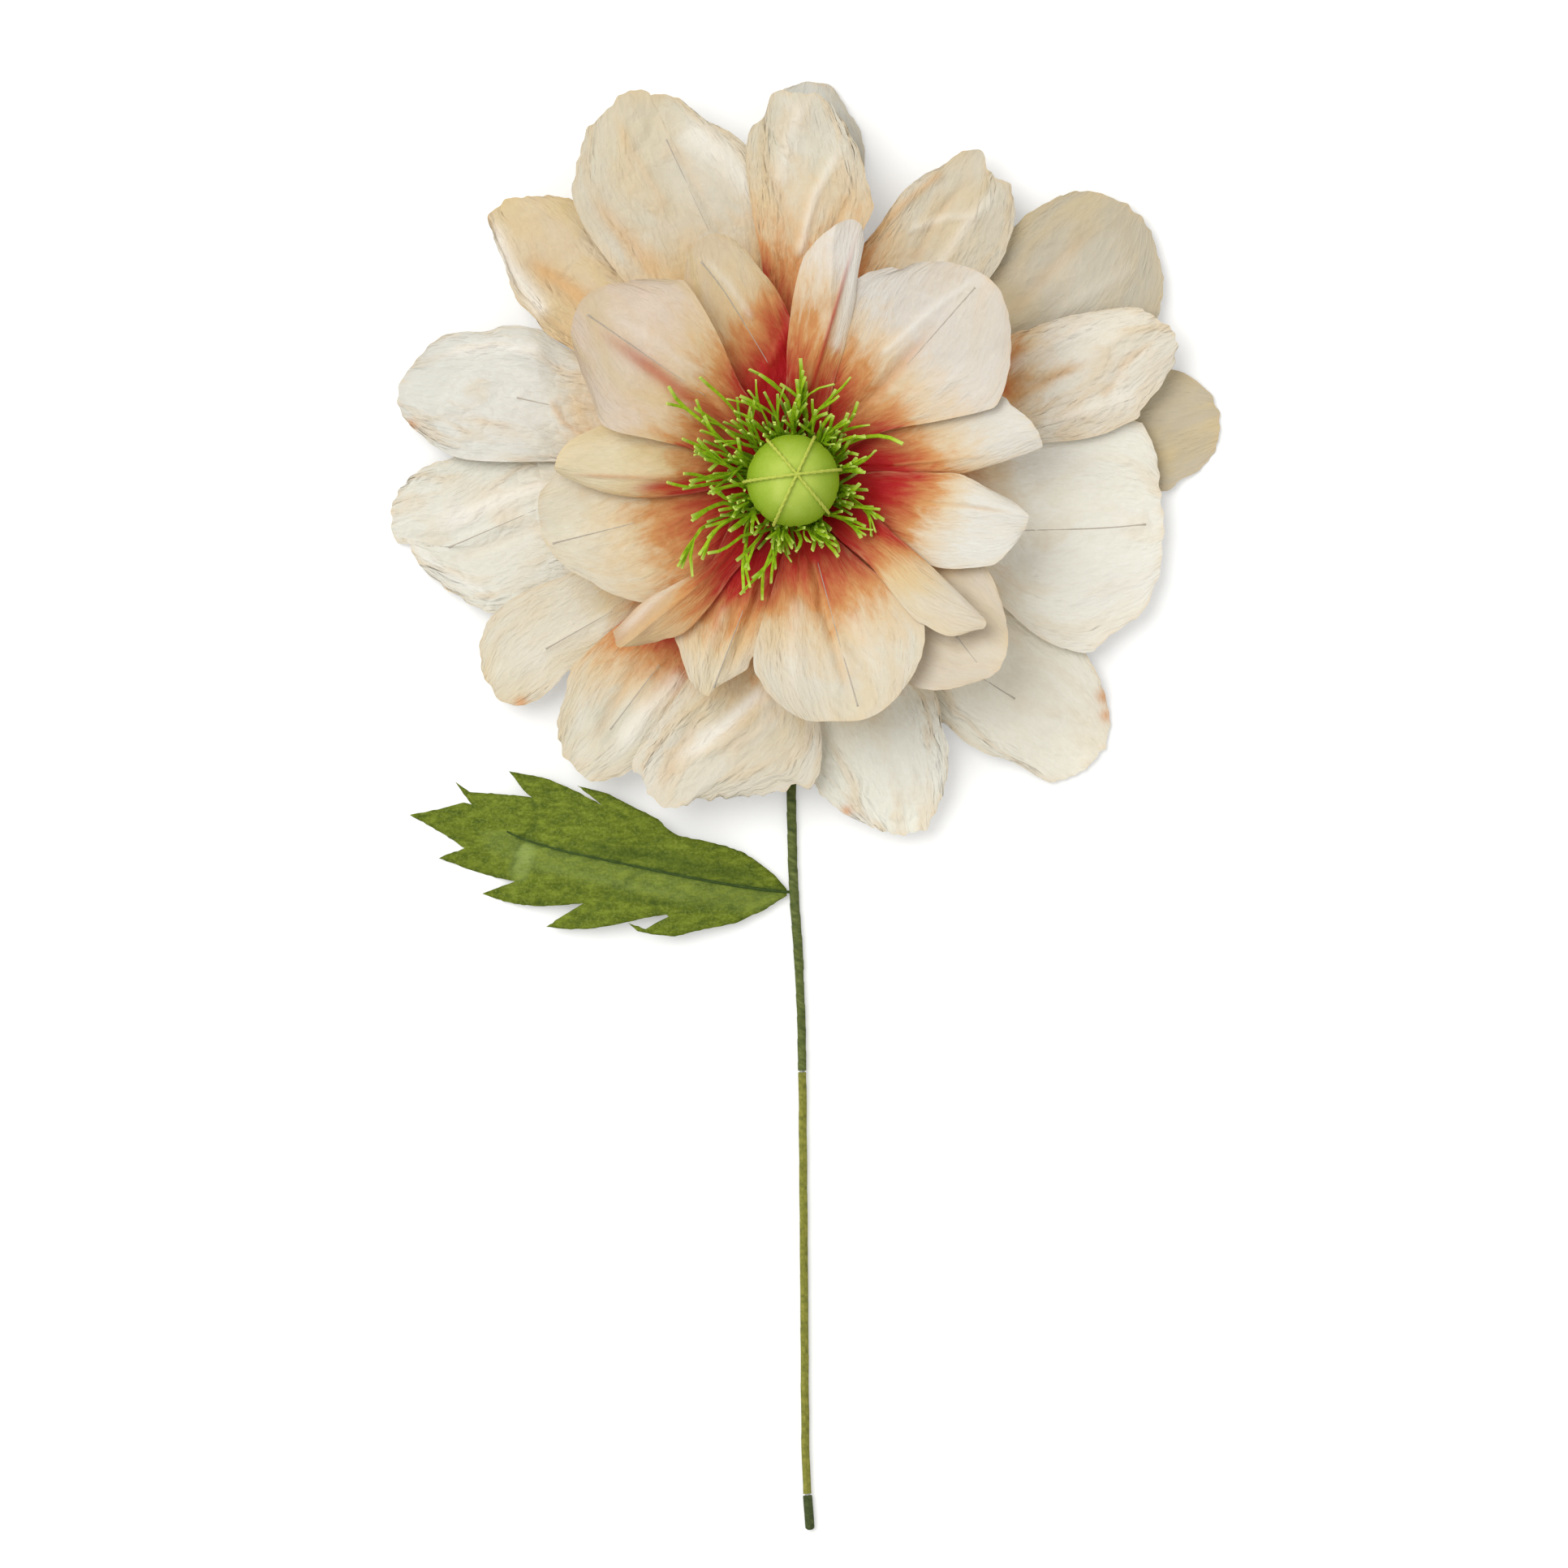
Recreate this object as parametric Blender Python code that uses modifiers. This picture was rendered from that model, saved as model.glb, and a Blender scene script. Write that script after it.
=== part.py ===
"""Paper flower: two rings of wired paper petals around a green pod, with one leaf and a taped stem.

The flower lies on its back on a table. Its face looks up (+Z), its stem runs along the table (-Y) and
turns up behind the head. Points in the tables are millimetres seen from above, measured from the
axis of the head, so that x is to the right and y is away from the stem's end.
"""
import math

import bmesh
import bpy
from mathutils import Vector
from mathutils.geometry import delaunay_2d_cdt

MM = 0.001
GAP = 0.3 * MM

# Paper and wire
PAPER = 0.4 * MM
PETAL_RIB = 1.1 * MM
RIB_SIDE = 0.8 * MM
LEAF_WIRE_R = 0.7 * MM

# Stem
CORE_R = 1.3 * MM
TAPE_BORE_PLAY = 0.4 * MM
UPPER_R = 2.4 * MM
LOWER_R = 2.0 * MM
COVER_R = 2.25 * MM
COVER_FACE_R = 1.5 * MM
COVER_DEPTH = 17.0 * MM
COVER_FLOOR = 2.5 * MM
BEND_R = 12.0 * MM

# Neck binding, which carries the petals and the stamens
NECK_R = 6.5 * MM
NECK_FOOT = 15.0 * MM
NECK_TOP = 37.2 * MM
NECK_TAPER = 2.0 * MM

# Pod and the cords over it
POD_R = 22.25 * MM
POD_BORE_DEPTH = 15.0 * MM
POD_CORD_R = 0.8 * MM
POD_CORD_LAY = 0.25 * MM
POD_CORD_REACH = math.radians(72)
POD_CORD_TURNS = (130, 65, 187)
POD_CORD_CROSSING = (1.8, 2.5)

# Petal roots, in steps from the lowest petal up
ROOT_WIDTH = 1.8 * MM
GATHER_R = 16.0 * MM
GATHER_WIDTH = 6.4 * MM
ROOT_STEP = 1.6 * MM
PETAL_ROWS = 8
HALF_WAY = 0.55
# Up to the first share of its length a petal keeps to its ring, and from the second it has its full cup
STIFF_PART = 0.15
FREE_PART = 0.65

# Stamens
TUFT_ROOT_Z = 34.4 * MM
TUFT_ROOT_WIDTH = 3.0 * MM
THREAD = 1.2 * MM
THREAD_COUNT = 4
THREAD_UNEVEN = 4.0 * MM
# How far out and how high a thread's points lie
THREAD_STATIONS = (0, 0.28, 0.6, 1)
THREAD_RISE = (0, 1 * MM, 13 * MM, 27 * MM)
SPRIG_SHARE = 0.6


class Ring:
    """One ring of petals: where its paper starts, arches and ends, and how each step lifts it."""

    def __init__(self, reach, root, arch, rim, arch_step, rim_step):
        self.reach = reach * MM
        self.root = root * MM
        self.arch = arch * MM
        self.rim = rim * MM
        self.arch_step = arch_step * MM
        self.rim_step = rim_step * MM

    def height(self, r, step):
        """Height of the paper at the distance r from the head's axis, on the step-th petal up."""
        t = (r - NECK_R) / (self.reach - NECK_R)
        root = self.root + step * ROOT_STEP
        arch = self.arch + step * self.arch_step
        rim = self.rim + step * self.rim_step
        return root * (1 - t) ** 2 + 2 * arch * t * (1 - t) + rim * t * t


OUTER = Ring(reach=209, root=17.5, arch=20, rim=0, arch_step=4, rim_step=7)
INNER = Ring(reach=125, root=26, arch=38, rim=58, arch_step=4, rim_step=5)

# Each petal: its step in the ring, its cup (how far its edges rise) and its fold (how far its middle
# rises), then its left edge, middle line and right edge, from the gathered root out to the tip.
INNER_PETALS = [
    (2, 5, 0, [(-38, 14), (-68, 20), (-90, 26), (-98, 45), (-105, 66)],
     [(-22, 26), (-42, 41), (-70, 60), (-101, 84)],
     [(-20, 34), (-36, 70), (-50, 93), (-60, 97), (-76, 96)]),
    (0, 0, 0, [(-26, 30), (-46, 68), (-50, 92), (-51, 104)],
     [(-5, 30), (-10, 57), (-27, 82), (-47, 114)],
     [(8, 34), (6, 60), (-3, 82), (-14, 101), (-33, 118)]),
    (3, 0, 8, [(1, 30), (-5, 56), (-2, 78), (5, 107), (15, 118)],
     [(6, 28), (9, 52), (19, 81), (30, 123)],
     [(11, 28), (22, 55), (31, 82), (33, 98), (35, 119)]),
    (2, 4, 0, [(14, 30), (24, 66), (33, 95), (47, 102), (76, 104)],
     [(22, 26), (41, 42), (62, 63), (93, 96)],
     [(32, 22), (66, 28), (94, 35), (102, 50), (102, 82)]),
    (1, 0, 5, [(32, 14), (62, 26), (88, 36), (102, 37), (112, 31)],
     [(30, 8), (49, 8), (72, 10), (95, 13), (118, 20)],
     [(32, 3), (60, 2), (78, 3), (92, 7), (114, 14)]),
    (2, 0, 5, [(30, 0), (50, 4), (70, 4), (97, -5), (108, -11)],
     [(32, -5), (60, -10), (85, -12), (112, -18)],
     [(30, -11), (52, -25), (72, -38), (90, -41), (109, -27)]),
    (3, 0, 6, [(28, -12), (48, -25), (61, -36), (76, -50), (90, -65)],
     [(26, -18), (48, -36), (66, -53), (91, -69)],
     [(22, -22), (40, -44), (56, -66), (68, -75), (89, -71)]),
    (0, 0, 0, [(28, -18), (58, -30), (84, -36), (97, -50), (104, -76)],
     [(23, -22), (50, -46), (78, -74), (98, -91)],
     [(18, -28), (38, -66), (50, -92), (62, -99), (86, -97)]),
    (2, 3, 0, [(14, -26), (40, -44), (62, -66), (62, -83), (48, -106)],
     [(8, -28), (12, -39), (22, -76), (30, -116)],
     [(0, -30), (-12, -58), (-20, -82), (-16, -96), (6, -115)]),
    (0, 0, 0, [(-2, -30), (-6, -60), (-16, -84), (-28, -95), (-36, -99)],
     [(-12, -28), (-24, -62), (-34, -88), (-42, -103)],
     [(-18, -26), (-38, -48), (-53, -72), (-53, -84), (-48, -98)]),
    (1, 0, 6, [(-17, -24), (-34, -52), (-50, -72), (-62, -76), (-76, -79)],
     [(-20, -21), (-47, -51), (-63, -63), (-84, -79)],
     [(-24, -18), (-42, -38), (-58, -49), (-73, -58), (-87, -72)]),
    (0, 0, 0, [(-26, -18), (-44, -46), (-68, -60), (-88, -54), (-113, -37)],
     [(-30, -7), (-76, -20), (-98, -26), (-121, -26)],
     [(-30, -1), (-60, 6), (-92, 9), (-111, 5), (-123, -13)]),
    (1, 0, 5, [(-30, 2), (-52, -6), (-72, -8), (-92, -5), (-109, 0)],
     [(-31, 5), (-58, 3), (-84, 3), (-114, 5)],
     [(-30, 14), (-54, 30), (-76, 34), (-94, 27), (-111, 14)]),
]
OUTER_PETALS = [
    (3, 0, 0, [(-36, 46), (-74, 88), (-98, 119), (-105, 140), (-90, 180)],
     [(-20, 48), (-39, 118), (-57, 156), (-70, 188)],
     [(-2, 50), (0, 100), (-8, 142), (-24, 163), (-52, 183)]),
    (4, 0, 0, [(-4, 50), (-14, 100), (-22, 145), (-21, 168), (-12, 182)],
     [(2, 50), (6, 110), (8, 150), (4, 187)],
     [(9, 50), (24, 90), (37, 124), (38, 138), (20, 180)]),
    (0, 0, 0, [(-1, 50), (-8, 110), (-10, 160), (-8, 185), (0, 193)],
     [(4, 50), (10, 120), (13, 160), (11, 194)],
     [(8, 50), (22, 100), (33, 145), (33, 166), (24, 185)]),
    (2, 0, 0, [(10, 50), (18, 84), (31, 112), (48, 134), (79, 158)],
     [(22, 45), (50, 92), (72, 125), (93, 157)],
     [(30, 40), (66, 68), (96, 100), (106, 123), (100, 147)]),
    (1, 0, 0, [(30, 40), (60, 86), (92, 118), (114, 131), (148, 140)],
     [(36, 30), (90, 70), (130, 101), (168, 129)],
     [(44, 22), (102, 40), (152, 58), (174, 77), (176, 114)]),
    (2, 0, 4, [(42, 24), (76, 52), (106, 71), (130, 80), (170, 83)],
     [(46, 17), (103, 38), (142, 58), (183, 71)],
     [(48, 11), (92, 17), (140, 21), (163, 29), (184, 59)]),
    (0, 0, 0, [(48, 10), (96, 24), (146, 43), (178, 55), (203, 41)],
     [(50, 5), (110, 14), (160, 20), (206, 26)],
     [(50, 0), (100, -2), (150, -6), (178, -5), (202, 12)]),
    (1, 0, 0, [(49, 8), (92, 24), (132, 33), (160, 31), (178, 3)],
     [(50, -6), (110, -23), (145, -22), (180, -20)],
     [(46, -16), (86, -46), (118, -74), (140, -83), (175, -50)]),
    (0, 0, 0, [(46, -22), (92, -46), (130, -68), (145, -86), (153, -120)],
     [(35, -35), (91, -93), (118, -112), (146, -135)],
     [(22, -46), (40, -86), (62, -112), (80, -124), (122, -143)]),
    (1, 0, 0, [(24, -46), (50, -78), (68, -104), (76, -128), (66, -163)],
     [(16, -48), (34, -100), (46, -138), (54, -169)],
     [(2, -50), (-6, -90), (-4, -126), (12, -149), (42, -167)]),
    (3, 0, 5, [(2, -50), (10, -90), (14, -128), (8, -145), (-40, -152)],
     [(-7, -48), (-12, -108), (-30, -125), (-61, -156)],
     [(-20, -44), (-48, -84), (-70, -116), (-77, -134), (-71, -147)]),
    (2, 0, 0, [(-18, -46), (-36, -96), (-56, -128), (-74, -139), (-90, -144)],
     [(-30, -40), (-63, -86), (-88, -119), (-107, -139)],
     [(-36, -34), (-76, -62), (-102, -82), (-109, -98), (-114, -122)]),
    (1, 0, 0, [(-34, -38), (-68, -80), (-100, -94), (-120, -103), (-134, -107)],
     [(-40, -26), (-87, -62), (-119, -80), (-147, -99)],
     [(-46, -20), (-92, -38), (-130, -53), (-145, -64), (-152, -84)]),
    (0, 0, 0, [(-46, -20), (-92, -50), (-128, -66), (-154, -59), (-186, -31)],
     [(-50, -4), (-124, -13), (-160, -22), (-193, -20)],
     [(-48, 12), (-94, 26), (-138, 26), (-170, 11), (-193, -9)]),
    (1, 0, 0, [(-50, 6), (-100, 10), (-150, 10), (-172, 17), (-191, 42)],
     [(-48, 14), (-115, 37), (-150, 46), (-187, 53)],
     [(-40, 28), (-76, 60), (-106, 73), (-134, 76), (-174, 68)]),
    (2, 0, 0, [(-42, 26), (-84, 52), (-112, 67), (-132, 87), (-147, 127)],
     [(-36, 33), (-80, 72), (-112, 98), (-140, 134)],
     [(-24, 42), (-50, 84), (-78, 118), (-98, 135), (-122, 138)]),
]

# Stamen sprigs: direction in degrees, reach of the sprig, reach of its longest thread
TUFTS = [(0, 37, 46), (30, 38, 55), (60, 42, 58), (89, 44, 57), (118, 45, 58), (145, 49, 66),
         (172, 50, 74), (201, 52, 66), (232, 46, 50), (266, 38, 53), (300, 37, 42), (331, 35, 40)]

# Stem seen from above: y, then how far its middle wanders to the right
STEM_ROUTE = [(-40, 0), (-147, -0.7), (-197, 0.5), (-220, 2.2), (-265, 4.2), (-335, 5), (-395, 5.5),
              (-470, 6.2), (-505, 8.3)]
TAPE_CHANGE_Y = -284 * MM

# Leaf outline, from the stem round its upper edge, lobe by lobe, and back along its lower edge
LEAF_EDGE = [
    (-14, -185), (-25, -177.5), (-43, -172.4), (-60, -167), (-73, -158), (-88, -150), (-104, -146),
    (-92, -155.5), (-109, -146.4), (-125, -141), (-137, -139), (-126, -151.5), (-151, -149.3),
    (-163, -144), (-155, -155), (-170, -157), (-185, -160), (-177, -164.6), (-158.5, -176),
    (-171, -181), (-148, -189), (-134, -192), (-150, -198), (-134, -203), (-112, -203.6),
    (-101, -202.6), (-119, -214), (-99, -215), (-73, -210), (-60, -209), (-79.5, -212), (-68, -217.6),
    (-47, -216), (-27, -212), (-8, -202)]
LEAF_WIRE = [(-18, -195.5), (-34, -193), (-50, -190), (-65, -187), (-82, -183.4), (-96, -180.5),
             (-112, -177), (-129, -172), (-138, -168)]
# The outline and the wire are drawn for a leaf of the drawn length, and grow from the stem with the real one
LEAF_DRAWN = 185
LEAF_LENGTH = 185 * MM
LEAF_ARCH_SHARE = 0.81
LEAF_ROOT_Y = -197.4 * MM
LEAF_ROOT_WIDTH = 3.0 * MM
LEAF_ARCH = 11 * MM
LEAF_FALL = 0.12

CREAM = (238, 228, 208)
TAN = (222, 200, 168)


def metres(points):
    """Turn a table's millimetres into vectors in metres."""
    return [Vector((x, y)) * MM for x, y in points]


def smooth_point(points, span, t):
    """Point on a Catmull-Rom curve between points[span] and points[span + 1]."""
    last = len(points) - 1
    a = points[max(span - 1, 0)]
    b = points[span]
    c = points[span + 1]
    d = points[min(span + 2, last)]
    return 0.5 * (2 * b + (c - a) * t + (2 * a - 5 * b + 4 * c - d) * t ** 2
                  + (3 * b - a - 3 * c + d) * t ** 3)


def along(points, count):
    """Count + 1 points at equal distances along the smooth curve through the given points."""
    fine = []
    steps = 12
    for span in range(len(points) - 1):
        for k in range(steps):
            fine.append(smooth_point(points, span, k / steps))
    fine.append(points[-1])
    reach = [0.0]
    for before, after in zip(fine, fine[1:]):
        reach.append(reach[-1] + (after - before).length)
    spaced = []
    k = 0
    for i in range(count + 1):
        want = reach[-1] * i / count
        while k < len(fine) - 2 and reach[k + 1] < want:
            k += 1
        part = (want - reach[k]) / (reach[k + 1] - reach[k])
        spaced.append(fine[k].lerp(fine[k + 1], min(part, 1.0)))
    return spaced


def rounded(x):
    """Ease from 0 to 1."""
    x = min(max(x, 0.0), 1.0)
    return x * x * (3 - 2 * x)


def shade(value):
    """Turn one 0 to 255 colour value into the linear value that Blender takes."""
    part = value / 255
    return part / 12.92 if part <= 0.04045 else ((part + 0.055) / 1.055) ** 2.4


def finish(obj, colour, roughness=0.85):
    """Give the object its own material and put it in the flower's collection."""
    material = bpy.data.materials.new(obj.name)
    material.use_nodes = True
    surface = material.node_tree.nodes["Principled BSDF"]
    surface.inputs["Base Color"].default_value = [shade(c) for c in colour] + [1]
    surface.inputs["Roughness"].default_value = roughness
    surface.inputs["Metallic"].default_value = 0.0
    obj.data.materials.clear()
    obj.data.materials.append(material)
    for old in list(obj.users_collection):
        old.objects.unlink(obj)
    flower.objects.link(obj)
    obj.parent = stand
    return obj


def object_from(bm, name):
    """Make an object of a bmesh."""
    mesh = bpy.data.meshes.new(name)
    bm.to_mesh(mesh)
    bm.free()
    return bpy.data.objects.new(name, mesh)


def thicken(obj, thickness):
    """Give an open sheet its thickness, upwards from the surface as it is laid out."""
    solid = obj.modifiers.new("paper", 'SOLIDIFY')
    solid.thickness = thickness
    solid.offset = 1
    solid.use_even_offset = False
    return solid


def rod(name, points, radius, sides_step=2, capped=True):
    """A straight-sided tube along the points, as a curve object."""
    curve = bpy.data.curves.new(name, 'CURVE')
    curve.dimensions = '3D'
    curve.bevel_depth = radius
    curve.bevel_resolution = sides_step
    curve.render_resolution_u = 0
    curve.use_fill_caps = capped
    spline = curve.splines.new('POLY')
    spline.points.add(len(points) - 1)
    for slot, point in zip(spline.points, points):
        slot.co = (*point, 1)
    return bpy.data.objects.new(name, curve)


def petal_edges(left, middle, right):
    """The three guide lines of a petal, from the neck out."""
    left, middle, right = metres(left), metres(middle), metres(right)
    out = middle[0].normalized()
    side = Vector((-out.y, out.x))
    guides = []
    for line, half in ((left, 1), (middle, 0), (right, -1)):
        root = out * (NECK_R + GAP) + side * half * ROOT_WIDTH / 2
        gather = out * GATHER_R + side * half * GATHER_WIDTH / 2
        guides.append(along([root, gather] + line, PETAL_ROWS))
    return guides


def make_petal(name, ring, row, colour):
    """One petal: a sheet between its guide lines, lifted to its ring, with its wire as a rib."""
    step, cup, fold, left, middle, right = row
    guides = petal_edges(left, middle, right)
    columns = 6
    bm = bmesh.new()
    bmesh.ops.create_grid(bm, x_segments=columns, y_segments=PETAL_ROWS, size=1)
    rib = []
    for vert in bm.verts:
        i = round((vert.co.x + 1) / 2 * columns)
        j = round((vert.co.y + 1) / 2 * PETAL_ROWS)
        a, b, c = (guide[j] for guide in guides)
        beside_rib = min(0.45, 2 * RIB_SIDE / (a - c).length)
        v = (-1, -HALF_WAY, -beside_rib, 0, beside_rib, HALF_WAY, 1)[i]
        flat = a * v * (v - 1) / 2 + b * (1 - v * v) + c * v * (v + 1) / 2
        free = rounded((j / PETAL_ROWS - STIFF_PART) / (FREE_PART - STIFF_PART))
        lift = (cup * v * v + fold * (1 - abs(v))) * MM * free
        vert.co = (*flat, ring.height(flat.length, step) + lift)
        if i == columns // 2:
            rib.append(vert.index)
    obj = object_from(bm, name)
    group = obj.vertex_groups.new(name="rib")
    group.add(rib, 1.0, 'REPLACE')
    sheet = thicken(obj, PETAL_RIB)
    sheet.vertex_group = "rib"
    sheet.thickness_vertex_group = PAPER / PETAL_RIB
    return finish(obj, colour)


def make_petals():
    """Both rings of petals."""
    for number, row in enumerate(INNER_PETALS, 1):
        make_petal(f"inner_petal_{number:02d}", INNER, row, CREAM)
    for number, row in enumerate(OUTER_PETALS, 1):
        make_petal(f"outer_petal_{number:02d}", OUTER, row, CREAM if row[0] else TAN)


def stem_line():
    """The stem's middle line, from inside the pod down the neck, round the bend and out to its end."""
    top = NECK_TOP + GAP + POD_BORE_DEPTH - GAP
    line = [Vector((0, 0, top)), Vector((0, 0, NECK_TOP)), Vector((0, 0, NECK_FOOT))]
    turns = 5
    for k in range(turns + 1):
        turn = math.pi / 2 * k / turns
        line.append(Vector((0, BEND_R * (math.cos(turn) - 1), UPPER_R + BEND_R * (1 - math.sin(turn)))))
    for spot in along(metres([(x, y) for y, x in STEM_ROUTE]), 15):
        line.append(Vector((spot.x, spot.y, UPPER_R)))
    return line


def cut_line(line, start, end):
    """The part of the stem's line between two distances along it."""
    part = []
    run = 0.0
    for before, after in zip(line, line[1:]):
        piece = (after - before).length
        for want in (start, end):
            if run <= want < run + piece:
                part.append(before.lerp(after, (want - run) / piece))
        if start < run + piece < end:
            part.append(after)
        run += piece
    return part


def run_at(line, axis, value):
    """Distance along the stem's line at which it passes below a value of y (1) or z (2)."""
    run = 0.0
    for before, after in zip(line, line[1:]):
        piece = (after - before).length
        if before[axis] >= value > after[axis]:
            return run + piece * (before[axis] - value) / (before[axis] - after[axis])
        run += piece
    return run


def make_wrap(name, points, radius, colour):
    """A wrap of tape or paper round the stem wire, as an open tube with a wall."""
    obj = rod(name, points, radius, capped=False)
    wall = obj.modifiers.new("wall", 'SOLIDIFY')
    wall.thickness = radius - CORE_R - TAPE_BORE_PLAY
    wall.offset = -1
    return finish(obj, colour)


def turned(name, profile, steps):
    """A solid turned round Z from its outline, which runs down its outer side."""
    bm = bmesh.new()
    verts = [bm.verts.new((r, 0, z)) for r, z in profile]
    for before, after in zip(verts, verts[1:]):
        bm.edges.new((before, after))
    obj = object_from(bm, name)
    screw = obj.modifiers.new("turn", 'SCREW')
    screw.steps = steps
    screw.render_steps = steps
    screw.use_merge_vertices = True
    screw.merge_threshold = 0.01 * MM
    screw.use_smooth_shade = True
    return obj


def make_cover(line):
    """The dark cup of paper over the stem's lower end, with a flat face at the tip."""
    bore = CORE_R + TAPE_BORE_PLAY
    edge = COVER_R - COVER_FACE_R
    shoulder = edge * (1 - math.sqrt(0.5))
    profile = [(0, 0), (COVER_FACE_R, 0), (COVER_R - shoulder, shoulder), (COVER_R, edge),
               (COVER_R, COVER_DEPTH), (bore, COVER_DEPTH), (bore, COVER_FLOOR), (0, COVER_FLOOR)]
    obj = turned("stem_end_cover", profile[::-1], 12)
    tip = line[-1]
    inward = (line[-2] - tip).normalized()
    obj.location = tip
    obj.rotation_mode = 'QUATERNION'
    obj.rotation_quaternion = inward.to_track_quat('Z', 'X')
    return finish(obj, (65, 75, 35))


def make_stem():
    """The stem wire, its two wraps and the cover on its end."""
    line = stem_line()
    whole = sum((b - a).length for a, b in zip(line, line[1:]))
    neck = run_at(line, 2, NECK_FOOT)
    change = run_at(line, 1, TAPE_CHANGE_Y)
    cover = whole - COVER_DEPTH
    finish(rod("stem_wire", cut_line(line, 0, whole - COVER_FLOOR - GAP), CORE_R), (120, 120, 115), 0.5)
    make_wrap("upper_stem_wrap", cut_line(line, neck + GAP, change - GAP / 2), UPPER_R, (85, 105, 55))
    make_wrap("lower_stem_wrap", cut_line(line, change + GAP / 2, cover - GAP), LOWER_R, (120, 125, 40))
    make_cover(line)


def make_neck():
    """The binding of tape round the stem wire that the petals and the stamens are bound to."""
    bore = CORE_R + TAPE_BORE_PLAY
    profile = [(bore, NECK_TOP), (NECK_R, NECK_TOP), (NECK_R, NECK_FOOT + NECK_TAPER),
               (UPPER_R, NECK_FOOT), (bore, NECK_FOOT), (bore, NECK_TOP)]
    finish(turned("neck_binding", profile, 24), (85, 105, 55))


def pod_middle():
    """Height of the pod's middle, where its underside clears the neck."""
    return NECK_TOP + GAP + POD_R


def make_pod():
    """The green ball, with a blind bore for the stem wire."""
    bore = CORE_R + TAPE_BORE_PLAY
    middle = pod_middle()
    bore_mouth = math.acos(bore / POD_R)
    arcs = 11
    profile = []
    for k in range(arcs + 1):
        turn = math.pi / 2 - (math.pi / 2 + bore_mouth) * k / arcs
        profile.append((max(POD_R * math.cos(turn), 0), middle + POD_R * math.sin(turn)))
    roof = NECK_TOP + GAP + POD_BORE_DEPTH
    profile += [(bore, roof), (0, roof)]
    finish(turned("pod_ball", profile, 20), (150, 190, 75), 0.6)


def make_pod_cords():
    """Three paper cords glued over the pod, which cross near its top, as one piece."""
    middle = pod_middle()
    crossing = Vector((*POD_CORD_CROSSING, 0)) * MM
    cords = []
    for order, turn in enumerate(POD_CORD_TURNS):
        reach = POD_R + GAP + POD_CORD_R + order * POD_CORD_LAY
        out = Vector((math.cos(math.radians(turn)), math.sin(math.radians(turn)), 0))
        offset = crossing - out * crossing.dot(out)
        radius = math.sqrt(reach ** 2 - offset.length ** 2)
        points = []
        for k in range(11):
            angle = POD_CORD_REACH * (k / 5 - 1)
            points.append(offset + out * radius * math.sin(angle)
                          + Vector((0, 0, middle + radius * math.cos(angle))))
        cords.append(solid_of(rod(f"cord_{turn}", points, POD_CORD_R, 1)))
    base = cords[0]
    base.name = "pod_cords"
    for other in cords[1:]:
        join = base.modifiers.new("join", 'BOOLEAN')
        join.operation = 'UNION'
        join.solver = 'EXACT'
        join.object = other
        cutters.objects.link(other)
        other.parent = stand
        other.hide_render = True
        other.display_type = 'WIRE'
    finish(base, (190, 200, 80))


def solid_of(obj):
    """Turn a curve object into a closed mesh object."""
    flower.objects.link(obj)
    bpy.context.view_layer.update()
    evaluated = obj.evaluated_get(bpy.context.evaluated_depsgraph_get())
    mesh = bpy.data.meshes.new_from_object(evaluated)
    bm = bmesh.new()
    bm.from_mesh(mesh)
    bmesh.ops.remove_doubles(bm, verts=bm.verts, dist=0.01 * MM)
    bm.to_mesh(mesh)
    bm.free()
    name = obj.name
    bpy.data.objects.remove(obj)
    return bpy.data.objects.new(name, mesh)


def make_tuft(number, turn, reach, long_reach):
    """One sprig of stamens: threads cut and twisted from one strip of green paper."""
    out = Vector((math.cos(math.radians(turn)), math.sin(math.radians(turn)), 0))
    side = Vector((-out.y, out.x, 0))
    columns = 2 * THREAD_COUNT - 1
    rows = len(THREAD_STATIONS) - 1
    spread = math.radians(360 / len(TUFTS)) * SPRIG_SHARE
    bm = bmesh.new()
    bmesh.ops.create_grid(bm, x_segments=columns, y_segments=rows, size=1)
    slits = []
    for face in bm.faces:
        middle = face.calc_center_median()
        i = int((middle.x + 1) / 2 * columns)
        j = int((middle.y + 1) / 2 * rows)
        if i % 2 and j > 0:
            slits.append(face)
    bmesh.ops.delete(bm, geom=slits, context='FACES')
    for vert in bm.verts:
        i = round((vert.co.x + 1) / 2 * columns)
        j = round((vert.co.y + 1) / 2 * rows)
        thread = i // 2
        edge = (i % 2 - 0.5) * THREAD
        end = reach * MM + THREAD_UNEVEN * math.cos(thread + 2 * number)
        if thread == number % THREAD_COUNT:
            end = long_reach * MM
        start = NECK_R + GAP
        r = start + (end - start) * THREAD_STATIONS[j]
        fan = (thread / (THREAD_COUNT - 1) - 0.5) * spread
        if j == 0:
            across = (i / columns - 0.5) * TUFT_ROOT_WIDTH
        else:
            across = r * math.sin(fan) + edge
        vert.co = out * r * (math.cos(fan) if j else 1) - side * across
        vert.co.z = TUFT_ROOT_Z + THREAD_RISE[j]
    obj = object_from(bm, f"stamen_sprig_{number:02d}")
    thicken(obj, THREAD)
    return finish(obj, (100, 150, 25))


def make_stamens():
    """The ring of sprigs round the neck, under the pod."""
    for number, (turn, reach, long_reach) in enumerate(TUFTS, 1):
        make_tuft(number, turn, reach, long_reach)


def stem_wander(y):
    """How far the stem's middle lies to the right at a distance y along it."""
    line = metres([(x, along_y) for along_y, x in STEM_ROUTE])
    for before, after in zip(line, line[1:]):
        if before.y >= y >= after.y:
            return before.lerp(after, (before.y - y) / (before.y - after.y)).x
    return line[-1].x


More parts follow.
